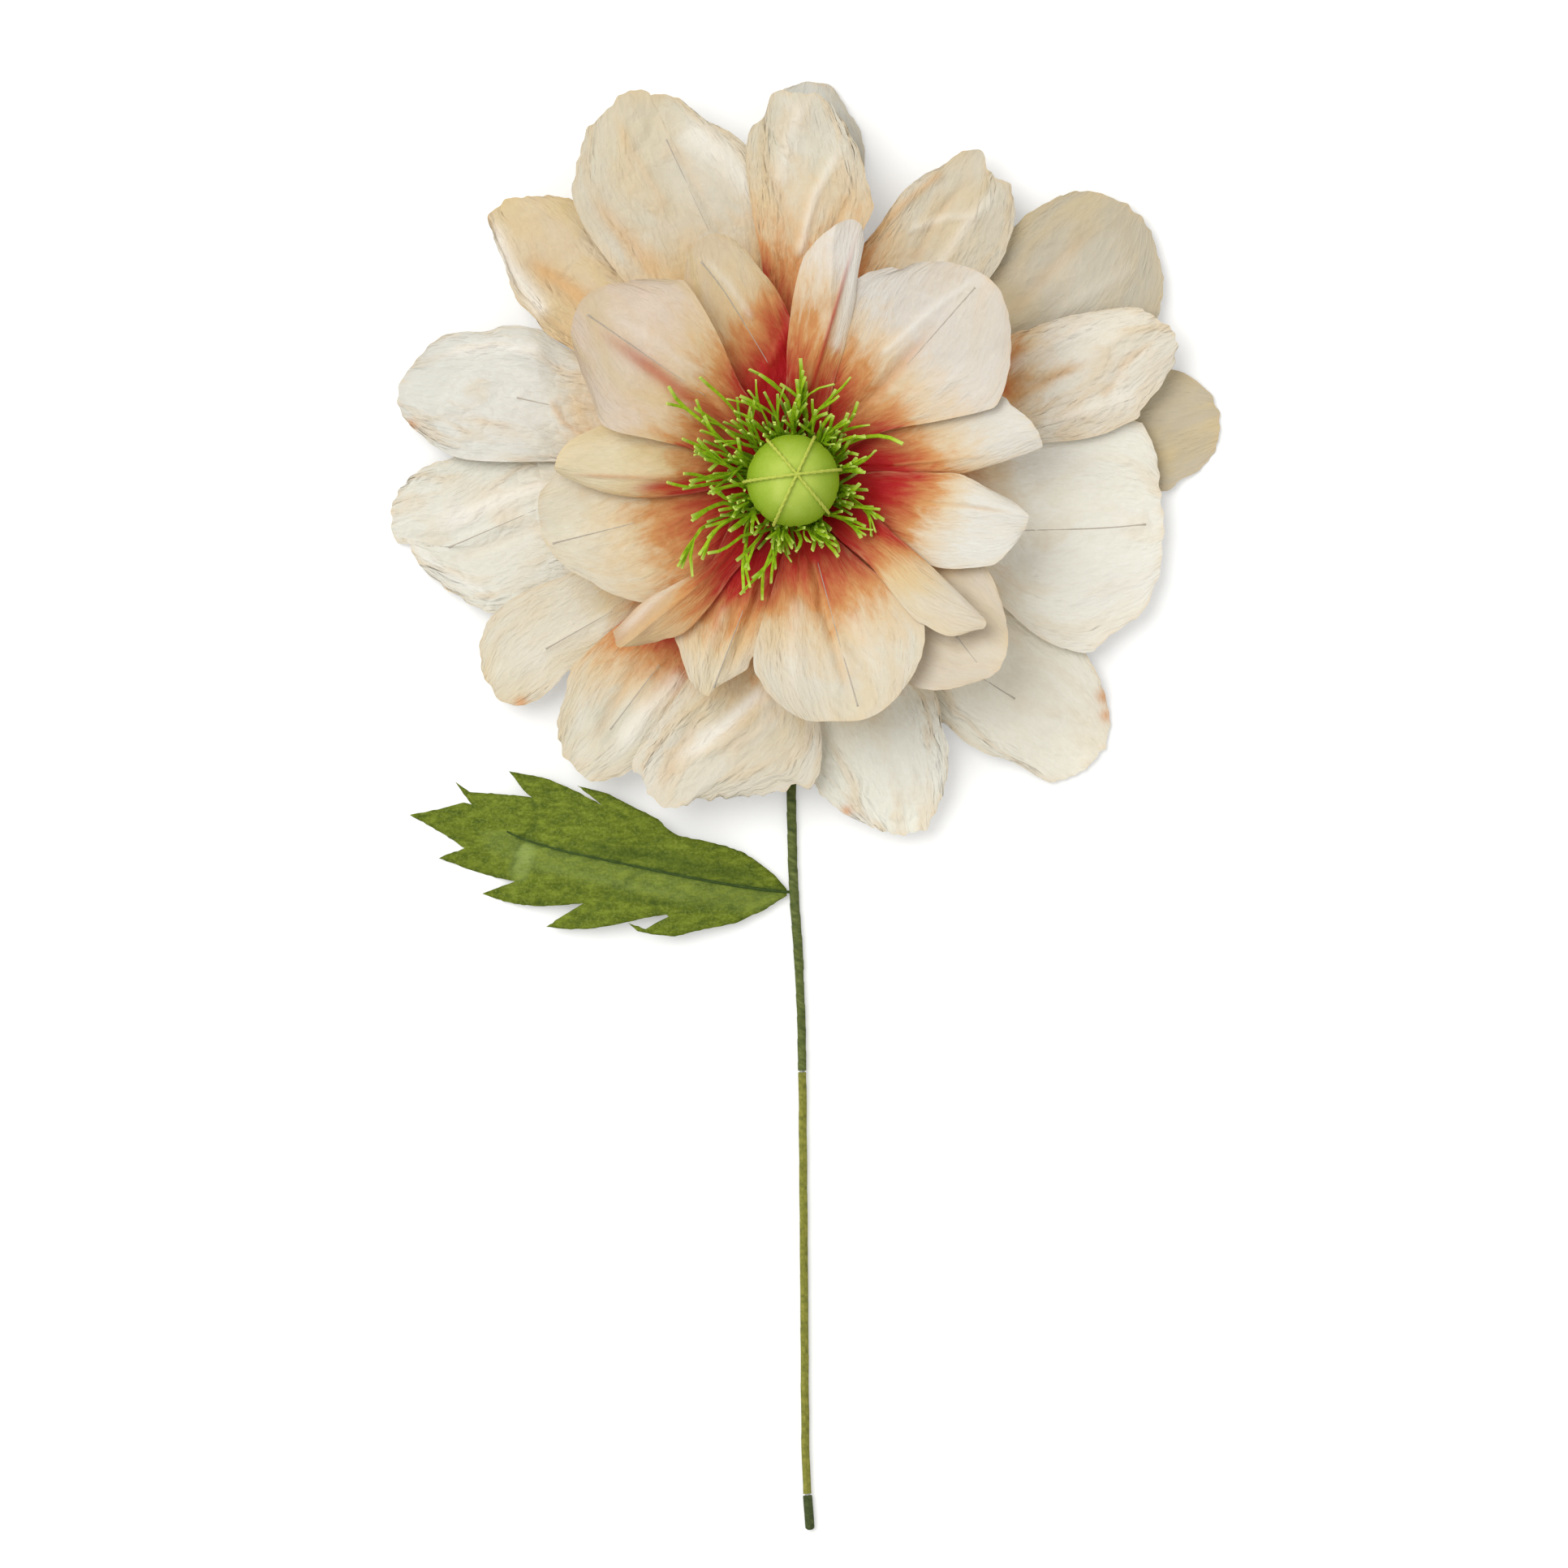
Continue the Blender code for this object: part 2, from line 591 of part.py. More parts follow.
def leaf_root():
    """Where the leaf's middle line meets the stem's side."""
    return Vector((stem_wander(LEAF_ROOT_Y) - UPPER_R - GAP, LEAF_ROOT_Y))


def leaf_points(table):
    """A table's points, moved away from the leaf's root as far as its length asks."""
    root = leaf_root()
    growth = LEAF_LENGTH / (LEAF_DRAWN * MM)
    return [root + (spot - root) * growth for spot in metres(table)]


def leaf_height(spot, wire):
    """Height of the leaf's underside: it arches along its wire and falls away beside it."""
    near = min(range(len(wire)), key=lambda k: (wire[k] - spot).length)
    beside = (wire[near] - spot).length if near else max(abs(wire[0].y - spot.y), 0)
    along_wire = (wire[0].x - spot.x) / (LEAF_LENGTH * LEAF_ARCH_SHARE)
    arch = LEAF_ARCH * math.sin(math.pi * min(max(along_wire, 0), 1))
    return max(UPPER_R - PAPER / 2 + arch - LEAF_FALL * beside, 0)


def make_leaf():
    """The ragged leaf, a sheet creased along its wire."""
    wire = [leaf_root()] + leaf_points(LEAF_WIRE)
    half_root = Vector((0, LEAF_ROOT_WIDTH / 2))
    edge = [wire[0] + half_root] + leaf_points(LEAF_EDGE) + [wire[0] - half_root]
    spots = edge + wire
    rim = [(k, (k + 1) % len(edge)) for k in range(len(edge))]
    crease = [(len(edge) + k, len(edge) + k + 1) for k in range(len(wire) - 1)]
    flat, _, faces, _, _, _ = delaunay_2d_cdt(spots, rim + crease, [list(range(len(edge)))], 1, 1e-6)
    bm = bmesh.new()
    verts = [bm.verts.new((*spot, leaf_height(Vector(spot), wire))) for spot in flat]
    for face in faces:
        bm.faces.new([verts[k] for k in face])
    bmesh.ops.recalc_face_normals(bm, faces=bm.faces)
    if sum(face.normal.z for face in bm.faces) < 0:
        bmesh.ops.reverse_faces(bm, faces=bm.faces)
    obj = object_from(bm, "leaf")
    thicken(obj, PAPER)
    finish(obj, (90, 125, 30))
    seat = PAPER + GAP + LEAF_WIRE_R
    points = [Vector((*spot, leaf_height(spot, wire) + seat)) for spot in wire]
    points[0].z = points[1].z
    finish(rod("leaf_wire", points, LEAF_WIRE_R, 1), (60, 75, 25))


def set_on_origin():
    """Move the whole flower so that the middle of its box's underside is at the world's origin."""
    bpy.context.view_layer.update()
    depsgraph = bpy.context.evaluated_depsgraph_get()
    corners = []
    for obj in flower.objects:
        if obj.type == 'EMPTY':
            continue
        evaluated = obj.evaluated_get(depsgraph)
        mesh = evaluated.to_mesh()
        corners += [evaluated.matrix_world @ vert.co for vert in mesh.vertices]
        evaluated.to_mesh_clear()
    low = Vector(min(c[k] for c in corners) for k in range(3))
    high = Vector(max(c[k] for c in corners) for k in range(3))
    stand.location = (-(low.x + high.x) / 2, -(low.y + high.y) / 2, -low.z)


for old in list(bpy.data.objects):
    bpy.data.objects.remove(old)
flower = bpy.data.collections.new("paper_flower")
cutters = bpy.data.collections.new("cutters")
bpy.context.scene.collection.children.link(flower)
bpy.context.scene.collection.children.link(cutters)
stand = bpy.data.objects.new("head_axis", None)
flower.objects.link(stand)

make_petals()
make_neck()
make_pod()
make_pod_cords()
make_stamens()
make_stem()
make_leaf()
set_on_origin()
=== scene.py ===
# %% [markdown]
# # Dressing the paper flower
#
# The flower lies on its back on a pale table: two rings of tea-stained paper petals round a green pod, a
# ragged paper leaf and a long taped stem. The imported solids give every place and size. This lesson puts
# thin, creased, stained paper where the plain solids are, so we start by loading them as a fixed frame.

# %% Load the frame
import math
from dataclasses import dataclass

import bpy
import numpy as np
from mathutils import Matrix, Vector
from mathutils.geometry import delaunay_2d_cdt


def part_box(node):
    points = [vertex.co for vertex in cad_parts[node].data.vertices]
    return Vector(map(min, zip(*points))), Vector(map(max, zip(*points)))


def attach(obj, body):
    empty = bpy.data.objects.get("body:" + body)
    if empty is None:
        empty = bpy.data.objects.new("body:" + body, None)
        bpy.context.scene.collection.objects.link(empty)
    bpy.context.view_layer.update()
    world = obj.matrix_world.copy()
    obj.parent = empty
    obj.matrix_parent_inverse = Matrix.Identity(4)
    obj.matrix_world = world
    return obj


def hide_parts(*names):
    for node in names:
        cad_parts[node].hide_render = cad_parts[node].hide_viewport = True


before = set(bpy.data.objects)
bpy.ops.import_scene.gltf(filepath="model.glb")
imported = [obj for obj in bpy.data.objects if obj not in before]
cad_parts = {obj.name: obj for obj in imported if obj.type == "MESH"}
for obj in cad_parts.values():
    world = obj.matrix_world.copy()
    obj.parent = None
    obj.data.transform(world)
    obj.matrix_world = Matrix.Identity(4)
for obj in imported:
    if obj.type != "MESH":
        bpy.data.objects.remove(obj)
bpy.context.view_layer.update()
print("frame nodes:", len(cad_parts))

# %% [markdown]
# ## Measuring from the head's axis
#
# A maker would measure each petal from the middle of the flower, looking straight down on it. We do the
# same: tables are in millimetres from the head's axis, x to the right and y away from the stem's end. The
# axis is found from the pod's solid, so the tables follow the frame wherever it stands.

# %% Millimetres and the head's axis
MM = 0.001
CURVE_STEPS = 12
pod_low, pod_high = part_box("pod_ball")
AXIS = np.array([(pod_low.x + pod_high.x) / 2, (pod_low.y + pod_high.y) / 2, 0.0])
POD_R = (pod_high.x - pod_low.x) / 2
POD_TOP = pod_high.z
print("head axis at", AXIS.round(4), "pod radius", round(POD_R, 4))


def course(text):
    """The points of a line that is written as x,y pairs."""
    return [tuple(float(number) for number in pair.split(",")) for pair in text.split()]


def smooth_line(points, count):
    """Count + 1 points at equal distances along a smooth curve through the given points."""
    given = np.asarray(points, float)
    ends = np.vstack([2 * given[0] - given[1], given, 2 * given[-1] - given[-2]])
    share = np.linspace(0, 1, CURVE_STEPS, endpoint=False)[:, None]
    fine = []
    for k in range(len(given) - 1):
        a, b, c, d = ends[k:k + 4]
        fine.append(0.5 * (2 * b + (c - a) * share + (2 * a - 5 * b + 4 * c - d) * share ** 2
                           + (3 * b - a - 3 * c + d) * share ** 3))
    fine = np.vstack(fine + [given[-1:]])
    run = line_run(fine)
    want = np.linspace(0, run[-1], count + 1)
    return np.column_stack([np.interp(want, run, fine[:, k]) for k in range(fine.shape[1])])


def line_run(points):
    """How far along a line each of its points is."""
    return np.concatenate([[0], np.cumsum(np.linalg.norm(np.diff(points, axis=0), axis=1))])


def ease(x):
    """Rise smoothly from 0 to 1 as x does."""
    x = np.clip(x, 0, 1)
    return x * x * (3 - 2 * x)


# %% [markdown]
# ## The shape of a ring
#
# Each ring of petals leaves the neck, arches up and falls (the outer ring) or rises (the inner ring) to
# its rim. A petal that lies on its neighbours starts and ends a step higher. The curve is the one the
# solids were made with, so the thin paper ends up exactly where the solid petal was.

# %% Rings of petals
NECK_R = 6.5
ROOT_GAP = 0.3
ROOT_WIDTH = 1.8
GATHER_R = 16.0
GATHER_WIDTH = 6.4
ROOT_STEP = 1.6


@dataclass
class Ring:
    """Where the paper of one ring starts, arches and ends, and how each step lifts it, in millimetres.

    Nearer in than its skirt, where its neighbours hide it, each petal is a little wider than it looks.
    Ragged says how far its edge strays.
    """
    reach: float
    root: float
    arch: float
    rim: float
    arch_step: float
    rim_step: float
    skirt: float
    ragged: float

    def height(self, r, step):
        """Height of the paper at the distance r from the axis, on the step-th petal up."""
        t = (r - NECK_R) / (self.reach - NECK_R)
        root = self.root + step * ROOT_STEP
        arch = self.arch + step * self.arch_step
        rim = self.rim + step * self.rim_step
        return root * (1 - t) ** 2 + 2 * arch * t * (1 - t) + rim * t * t


OUTER = Ring(reach=209, root=17.5, arch=20, rim=0, arch_step=4, rim_step=7, skirt=105, ragged=0.6)
INNER = Ring(reach=125, root=26, arch=38, rim=58, arch_step=4, rim_step=5, skirt=58, ragged=0.2)
for ring in (OUTER, INNER):
    print("lowest petal's rim and arch:", ring.rim, ring.arch, "mm")

# %% [markdown]
# ## Laying out a petal
#
# Seen from above, a petal is drawn by its left edge, its middle line, its right edge and its torn tip. A
# grid stretched between those lines keeps its columns running from root to tip, as the paper's own grain
# does, and that grain later carries the stain and the fine veins. A subdivided plane cut to shape would
# have been quicker, but its grid would run across the petal at any angle.

# %% Petal grid
PETAL_ROWS = 78
PETAL_COLUMNS = 52
TIP_SHARE = 0.45
SKIRT_EXTRA = 4.0
SKIRT_START = 16.0
SKIRT_END = 28.0


def petal_rails(left, middle, right, skirt):
    """The petal's three guide lines, from the neck to the tip."""
    out = np.array(middle[0], float)
    out /= np.linalg.norm(out)
    side = np.array([-out[1], out[0]])
    rails = []
    for line, half in ((left, 1), (middle, 0), (right, -1)):
        root = out * (NECK_R + ROOT_GAP) + side * half * ROOT_WIDTH / 2
        gather = out * GATHER_R + side * half * GATHER_WIDTH / 2
        rail = smooth_line(np.vstack([root, gather, line]), PETAL_ROWS)
        r = np.linalg.norm(rail, axis=1)
        extra = SKIRT_EXTRA * ease((r - NECK_R) / SKIRT_START) * ease((skirt - r) / SKIRT_END)
        rails.append(rail + side * half * extra[:, None])
    return rails


def petal_plan(left, tip, right, middle, skirt):
    """The petal seen from above, as rows of points, with each point's share along (u) and across (v).

    The tip is given without its two ends, which are the ends of the left and the right edge.
    """
    a, b, c = petal_rails(left, middle, right, skirt)
    v = np.linspace(-1, 1, PETAL_COLUMNS + 1)[None, :, None]
    u = np.linspace(0, 1, PETAL_ROWS + 1)[:, None, None]
    plan = a[:, None] * -v * (1 - v) / 2 + b[:, None] * (1 - v * v) + c[:, None] * v * (v + 1) / 2
    torn = smooth_line([left[-1], *tip, right[-1]], PETAL_COLUMNS) - plan[-1]
    plan = plan + torn[None] * ease((u - 1 + TIP_SHARE) / TIP_SHARE)
    return plan, np.broadcast_to(u[..., 0], plan.shape[:2]), np.broadcast_to(v[..., 0], plan.shape[:2])


# %% [markdown]
# ## Creasing the paper
#
# Thin paper doesn't ripple like water. It bends along straight, sharp creases with flat facets between
# them. So each wrinkle here is a little tent, sharp along its ridge and straight down its sides, laid at
# random but mostly along the grain. A noise displacement would have given soft lumps instead.

# %% Creases
def tent(x):
    """One at 0, falling in a straight line to nothing at 1."""
    return np.clip(1 - np.abs(x), 0, None)


def one_crease(apart, turn, reach, slim):
    """Height of one short sharp crease, from 0 to 1, at points that far apart from its middle."""
    line = np.array([math.cos(turn), math.sin(turn)])
    across = (apart @ np.array([-line[1], line[0]])) / (reach * slim)
    return tent(across) * np.clip(1 - ((apart @ line) / reach) ** 2, 0, None)


def crumple(plan, rng, count, length, depth, stray):
    """Height of a scatter of short sharp creases, most of them along the lines out from the head."""
    flat = plan.reshape(-1, 2)
    height = np.zeros(len(flat))
    for _ in range(count):
        centre = flat[rng.integers(len(flat))]
        turn = math.atan2(centre[1], centre[0]) + rng.normal(0, stray)
        reach = length * rng.uniform(0.5, 1.6)
        crease = one_crease(flat - centre, turn, reach, rng.uniform(0.14, 0.42))
        height += depth * rng.uniform(-1, 1) * crease
    return height.reshape(plan.shape[:2])


def pleats(u, v, rng, count, depth):
    """Height of the long pleats that run out from the gathered root and fade before the tip."""
    height = np.zeros(u.shape)
    for _ in range(count):
        place = rng.uniform(-0.95, 0.95)
        width = rng.uniform(0.08, 0.26)
        fade = ease((rng.uniform(0.3, 0.85) - u) / 0.4) * ease(u / 0.12)
        height += depth * rng.uniform(-1, 1) * tent((v - place) / width) * fade
    return height


def swell(plan, rng, count, wave, depth):
    """Height of the paper's slow waves."""
    height = np.zeros(plan.shape[:2])
    for _ in range(count):
        turn = rng.uniform(0, math.tau)
        length = wave * rng.uniform(0.7, 1.5)
        phase = (plan @ np.array([math.cos(turn), math.sin(turn)])) / length + rng.uniform(0, 1)
        height += depth / count ** 0.5 * np.cos(math.tau * phase)
    return height


def line_distance(plan, points):
    """Distance of every point of the plan from a line of points, and how far along the line it is."""
    line = np.asarray(points, float)
    best = np.full(plan.shape[:2], np.inf)
    share = np.zeros(plan.shape[:2])
    for k, (start, end) in enumerate(zip(line, line[1:])):
        step = end - start
        t = np.clip(((plan - start) @ step) / (step @ step), 0, 1)
        gap = np.linalg.norm(plan - (start + t[..., None] * step), axis=-1)
        nearer = gap < best
        best = np.where(nearer, gap, best)
        share = np.where(nearer, (k + t) / (len(line) - 1), share)
    return best, share


def near_line(plan, points, width):
    """One on a line, falling softly to nothing at about twice the width."""
    gap, _ = line_distance(plan, points)
    return np.exp(-(gap / width) ** 2)


# %% [markdown]
# ## Cutting the sheet
#
# A sheet of paper has two faces and a cut edge. Both faces are written straight from the grid and joined
# by a narrow wall round the outline, so the mesh is closed. The edge is marked sharp, so that smooth
# shading over the creases doesn't round off the rim.

# %% Closed sheets
SHEET = 0.3


def new_piece(name, verts, faces, material, smooth=True):
    """A mesh object in the row's frame, with its material."""
    mesh = bpy.data.meshes.new(name)
    mesh.from_pydata([tuple(p) for p in verts], [], faces)
    mesh.materials.append(material)
    mesh.polygons.foreach_set("use_smooth", [smooth] * len(mesh.polygons))
    mesh.update()
    piece = bpy.data.objects.new(name, mesh)
    bpy.context.scene.collection.objects.link(piece)
    return piece


def settle(piece, slot, *nodes):
    """Say what a piece rides on and which solids it stands for. The slot is not used."""
    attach(piece, "root")
    for node in nodes:
        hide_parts(node)


def store(piece, name, values):
    """Keep one number, or three, for each point of the mesh, for its material to read."""
    values = np.squeeze(np.asarray(values, np.float32))
    kind, field = ('FLOAT', "value") if values.ndim == 1 else ('FLOAT_VECTOR', "vector")
    piece.data.attributes.new(name, kind, 'POINT').data.foreach_set(field, values.ravel())


def sheet_faces(rows, columns):
    """Faces of a closed sheet whose upper points come first, row by row, and then its lower ones."""
    index = np.arange(rows * columns).reshape(rows, columns)
    under = rows * columns
    quads = np.stack([index[:-1, :-1], index[:-1, 1:], index[1:, 1:], index[1:, :-1]], -1).reshape(-1, 4)
    rim = np.concatenate([index[0, :-1], index[:-1, -1], index[-1, :0:-1], index[:0:-1, 0]])
    ahead = np.roll(rim, -1)
    wall = np.stack([rim, rim + under, ahead + under, ahead], -1)
    return np.vstack([quads, quads[:, ::-1] + under, wall]).tolist()


# %% [markdown]
# ## Mixing the dyes
#
# Colours are noted as they look on a colour chart, 0 to 255, and turned into the linear light that
# Blender mixes. A small helper wires the nodes, so that each finish reads as a recipe: which noise, which
# stain, how much of it.

# %% Colours and node recipes
def dye(r, g, b):
    """A chart colour as linear light."""
    parts = [c / 255 for c in (r, g, b)]
    return tuple(p / 12.92 if p <= 0.04045 else ((p + 0.055) / 1.055) ** 2.4 for p in parts)


class Recipe:
    """Short ways to add to a tree of nodes. Each gives back the new node's output."""

    def __init__(self, tree):
        self.tree = tree

    def put(self, value, socket):
        """Link an output to a socket, or set a plain value on it."""
        if isinstance(value, bpy.types.NodeSocket):
            self.tree.links.new(value, socket)
        elif isinstance(value, tuple) and socket.type == 'RGBA':
            socket.default_value = (*value, 1)
        else:
            socket.default_value = value

    def node(self, kind, inputs, output=0, **settings):
        """A node with its settings, and its inputs by name or by number."""
        node = self.tree.nodes.new("ShaderNode" + kind)
        for name, value in settings.items():
            setattr(node, name, value)
        for name, value in inputs.items():
            self.put(value, node.inputs[name])
        return node.outputs[output]

    def stored(self, name, output="Fac"):
        """What the mesh keeps under this name."""
        return self.node("Attribute", {}, output, attribute_name=name)

    def stretch(self, place, scale):
        """The same place, with each direction scaled."""
        return self.node("Mapping", {"Vector": place, "Scale": scale})

    def cloud(self, place, scale=1.0, detail=4.0, rough=0.55, twist=0.0):
        """Soft noise from 0 to 1."""
        return self.node("TexNoise", {"Vector": place, "Scale": scale, "Detail": detail,
                                      "Roughness": rough, "Distortion": twist})

    def folds(self, place, rough):
        """Noise with sharp ridges, like crumpled paper."""
        return self.node("TexNoise", {"Vector": place, "Scale": 1.0, "Detail": 3.0, "Roughness": rough,
                                      "Offset": 0.9, "Gain": 1.6}, noise_type='RIDGED_MULTIFRACTAL')

    def warp(self, place, scale, reach):
        """The same place, pushed about by soft noise."""
        push = self.node("TexNoise", {"Vector": place, "Scale": scale}, "Color")
        return self.node("VectorMath", {0: push, 1: (reach, reach, 0), 2: place}, operation='MULTIPLY_ADD')

    def cracks(self, place):
        """Distance from the edges of random cells, which is nothing along a net of lines."""
        return self.node("TexVoronoi", {"Vector": place, "Scale": 1.0}, "Distance",
                         feature='DISTANCE_TO_EDGE')

    def math(self, how, a, b, c=0.0):
        """Arithmetic on numbers."""
        return self.node("Math", {0: a, 1: b, 2: c}, operation=how)

    def fit(self, value, low, high, to_low=0.0, to_high=1.0):
        """Stretch a range of values to another, and stop at its ends."""
        return self.node("MapRange", dict(enumerate((value, low, high, to_low, to_high))))

    def ramp(self, value, *stops):
        """Chart colours at their places from 0 to 1."""
        node = self.tree.nodes.new("ShaderNodeValToRGB")
        self.put(value, node.inputs["Fac"])
        for _ in stops[2:]:
            node.color_ramp.elements.new(0.5)
        for element, (place, colour) in zip(node.color_ramp.elements, stops):
            element.position = place
            element.color = (*dye(*colour), 1)
        return node.outputs["Color"]

    def blend(self, share, under, over, how='MIX'):
        """Lay one colour over another."""
        return self.node("Mix", {0: share, 6: under, 7: over}, 2, data_type='RGBA', blend_type=how)

    def relief(self, height, depth, strength=1.0, before=None):
        """A bump of that depth in millimetres, on top of another if there is one."""
        under = {} if before is None else {"Normal": before}
        return self.node("Bump", {"Strength": strength, "Distance": depth * MM, "Height": height, **under})

    def seen_rays(self):
        """One for the rays of the camera, also by way of a mirror or glass, and otherwise nothing."""
        path = self.tree.nodes.new("ShaderNodeLightPath").outputs
        rays = self.math('MAXIMUM', path["Is Camera Ray"], path["Is Glossy Ray"])
        return self.math('MAXIMUM', rays, path["Is Transmission Ray"])


class Finish(Recipe):
    """The recipe of a material."""

    def __init__(self, name, roughness=0.8, specular=0.3):
        self.material = bpy.data.materials.new(name)
        self.material.use_nodes = True
        super().__init__(self.material.node_tree)
        self.surface = self.tree.nodes["Principled BSDF"]
        self.surface.inputs["Roughness"].default_value = roughness
        self.surface.inputs["Specular IOR Level"].default_value = specular

    def made(self, colour, normal=None):
        """The material, with its colour and its relief, if it has one."""
        self.put(colour, self.surface.inputs["Base Color"])
        if normal is not None:
            self.put(normal, self.surface.inputs["Normal"])
        return self.material


# %% [markdown]
# ## The petal paper
#
# The real petals are thin, fibrous, tea-stained paper. Dye has run out from the root along the fibres:
# blood red in the gathers, then rust, then a peach that ends in soft tongues. The rest is cream, tan in
# clouds, whiter where the tea didn't reach, with fine veins along the grain and a browner cut edge. Warm
# shade where other petals lie over the paper and along the creases is painted into the colour, and so are
# highlights on fold ridges and on the crests of the fine waves. The recipe reads the stain, the tints, the
# painted shade and highlights, the rim, the spots and the grain's direction from the mesh, so one finish
# serves every petal. Painting each petal by hand would look as good, but only at one size.

# %% Petal paper finish
def paper_body(paper, grain, waves, fibre, hair, crease):
    """The colour of the undyed paper: its own cream, tan with age, washed out and veined, with painted warm
    shade nearer the head and along the crease lines, and painted highlights on the wave and crease crests.
    """
    warm = paper.cloud(paper.stretch(grain, (0.034, 0.020, 1)), detail=4, rough=0.5, twist=0.7)
    cool = paper.cloud(paper.stretch(grain, (0.030, 0.016, 3)), detail=3, rough=0.5, twist=0.6)
    # Tan with age on yellower paper, plus painted warm shade nearer the head, where other petals lie over
    # it.
    age_and_shade = paper.stored("age_and_shade")
    tan = paper.math('MULTIPLY', paper.fit(warm, 0.44, 0.68), age_and_shade)
    washed = paper.math('SUBTRACT', 1.0, paper.math('MULTIPLY', age_and_shade, 1.3))
    washed = paper.math('MULTIPLY', paper.fit(cool, 0.48, 0.70, 0, 0.5), washed)
    body = paper.stored("paper_tint", "Color")
    # Tan clouds, from age and painted shade, and whiter clouds; then painted highlights on the wave and
    # fine-crease crests, the darker fibres of the grain, and painted shade along the crease lines.
    for share, over, how in ((tan, dye(220, 196, 140), 'MIX'),
                             (washed, dye(236, 234, 226), 'MIX'),
                             (paper.fit(waves, 0.50, 0.75, 0, 0.5), (0.64, 0.62, 0.58), 'SOFT_LIGHT'),
                             (paper.fit(hair, 0.8, 1.3, 0, 0.3), (0.62, 0.6, 0.58), 'SOFT_LIGHT'),
                             (paper.fit(fibre, 0.35, 0.65, 0.14, 0), dye(208, 186, 152), 'MIX'),
                             (paper.math('MULTIPLY', crease, 0.4), dye(222, 186, 130), 'MIX')):
        body = paper.blend(share, body, over, how)
    return body


def petal_paper():
    """Stained, fibrous paper, whose grain follows the map that each petal keeps."""
    paper = Finish("petal paper", roughness=0.6)
    grain = paper.stored("grain_map", "Vector")
    fibre = paper.cloud(paper.stretch(grain, (0.8, 0.26, 1)), detail=5, rough=0.65, twist=0.6)
    waves = paper.cloud(paper.stretch(grain, (0.20, 0.075, 1)), detail=4, rough=0.5, twist=0.8)
    blots = paper.cloud(paper.stretch(grain, (0.10, 0.05, 1)), detail=6, rough=0.6, twist=0.8)
    patch = paper.fit(paper.cloud(paper.stretch(grain, (0.035, 0.025, 5)), detail=2), 0.40, 0.60)
    crumpled = paper.math('MULTIPLY', paper.stored("crumpled"), paper.fit(patch, 0, 1, 0.35, 1))
    bent = paper.warp(grain, 0.06, 3.0)
    facets = paper.folds(paper.stretch(bent, (0.055, 0.022, 1)), 0.55)
    hair = paper.folds(paper.stretch(bent, (0.34, 0.085, 1)), 0.6)
    crinkle = paper.fit(paper.cracks(paper.stretch(bent, (0.22, 0.12, 1))), 0.0, 0.5)
    # Mask of the crumpled facets' crease lines, used only to paint shade along them.
    crease = paper.math('MULTIPLY', paper.fit(facets, 0.75, 1.2), crumpled)
    stain = paper.stored("stain")
    for noise, share in ((waves, 0.18), (fibre, 0.13), (blots, 0.5)):
        stain = paper.math('MULTIPLY_ADD', paper.math('SUBTRACT', noise, 0.5), share, stain)
    dyes = paper.ramp(stain, (0.06, (180, 6, 18)), (0.20, (182, 36, 26)), (0.31, (188, 78, 46)),
                      (0.44, (202, 122, 70)), (0.56, (213, 154, 96)), (0.74, (226, 192, 140)))
    body = paper.blend(paper.fit(stain, 0.55, 1.0), dyes,
                       paper_body(paper, grain, waves, fibre, hair, crease))
    rim = paper.math('MULTIPLY', paper.stored("rim"), paper.fit(waves, 0.4, 0.7, 0.05, 0.5))
    # The browner cut edge, then painted shade along the named creases and painted highlights on their
    # ridges, then red dye in the creases and the brown spots.
    for share, over in ((rim, (224, 190, 138)), (paper.stored("crease_shade"), (218, 170, 108)),
                        (paper.stored("ridge_highlight"), (250, 246, 236)),
                        (paper.stored("red_tint"), (184, 34, 26)), (paper.stored("spot"), (218, 146, 74))):
        body = paper.blend(share, body, dye(*over))
    bend = None
    for height, depth, strength in ((facets, 1.5, crumpled), (waves, 0.8, 0.4), (hair, 0.4, 0.4),
                                    (crinkle, 0.8, crumpled), (fibre, 0.5, 0.45)):
        bend = paper.relief(height, depth, strength, bend)
    return paper.made(body, bend)


PETAL_PAPER = petal_paper()
print("finish made:", PETAL_PAPER.name)

# %% [markdown]
# ## Making one petal
#
# A petal starts as its plan, gets the height of its ring, its own cup or fold, and then its creases, from
# the largest to the smallest. A wire is glued under it, and shows as a narrow ridge. Every chance in it
# comes from the petal's own name, so each run makes the same flower. Lengths are in millimetres.

# %% Height of a petal
STIFF_PART = 0.15
FREE_PART = 0.65
ROUGH_LIMIT = 1.3
PLEATS = {"count": 12, "depth": 1.1}
SLOW_WAVES = {"count": 4, "wave": 62, "depth": 1.3}
LONG_CREASES = {"count": 20, "length": 46, "depth": 2.2, "stray": 0.4}
SHORT_CREASES = {"count": 70, "length": 17, "depth": 0.65, "stray": 0.8}
RUFFLE = 0.4


def bed(ring, plan, u, v, step, cup, fold):
    """Height of the petal as its solid has it."""
    free = ease((u - STIFF_PART) / (FREE_PART - STIFF_PART))
    lift = (cup * v * v + fold * (1 - np.abs(v))) * free
    return ring.height(np.linalg.norm(plan, axis=-1), step) + lift


def creased(plan, u, v, rng, crease, loose):
    """Height of the pleats, waves and creases that come by chance, kept within a limit."""
    rough = pleats(u, v, rng, PLEATS["count"], PLEATS["depth"] * crease ** 0.5)
    rough += swell(plan, rng, **SLOW_WAVES) * loose
    for kind in (LONG_CREASES, SHORT_CREASES):
        rough += crumple(plan, rng, **{**kind, "depth": kind["depth"] * crease}) * loose
    return ROUGH_LIMIT * np.tanh(rough / ROUGH_LIMIT)


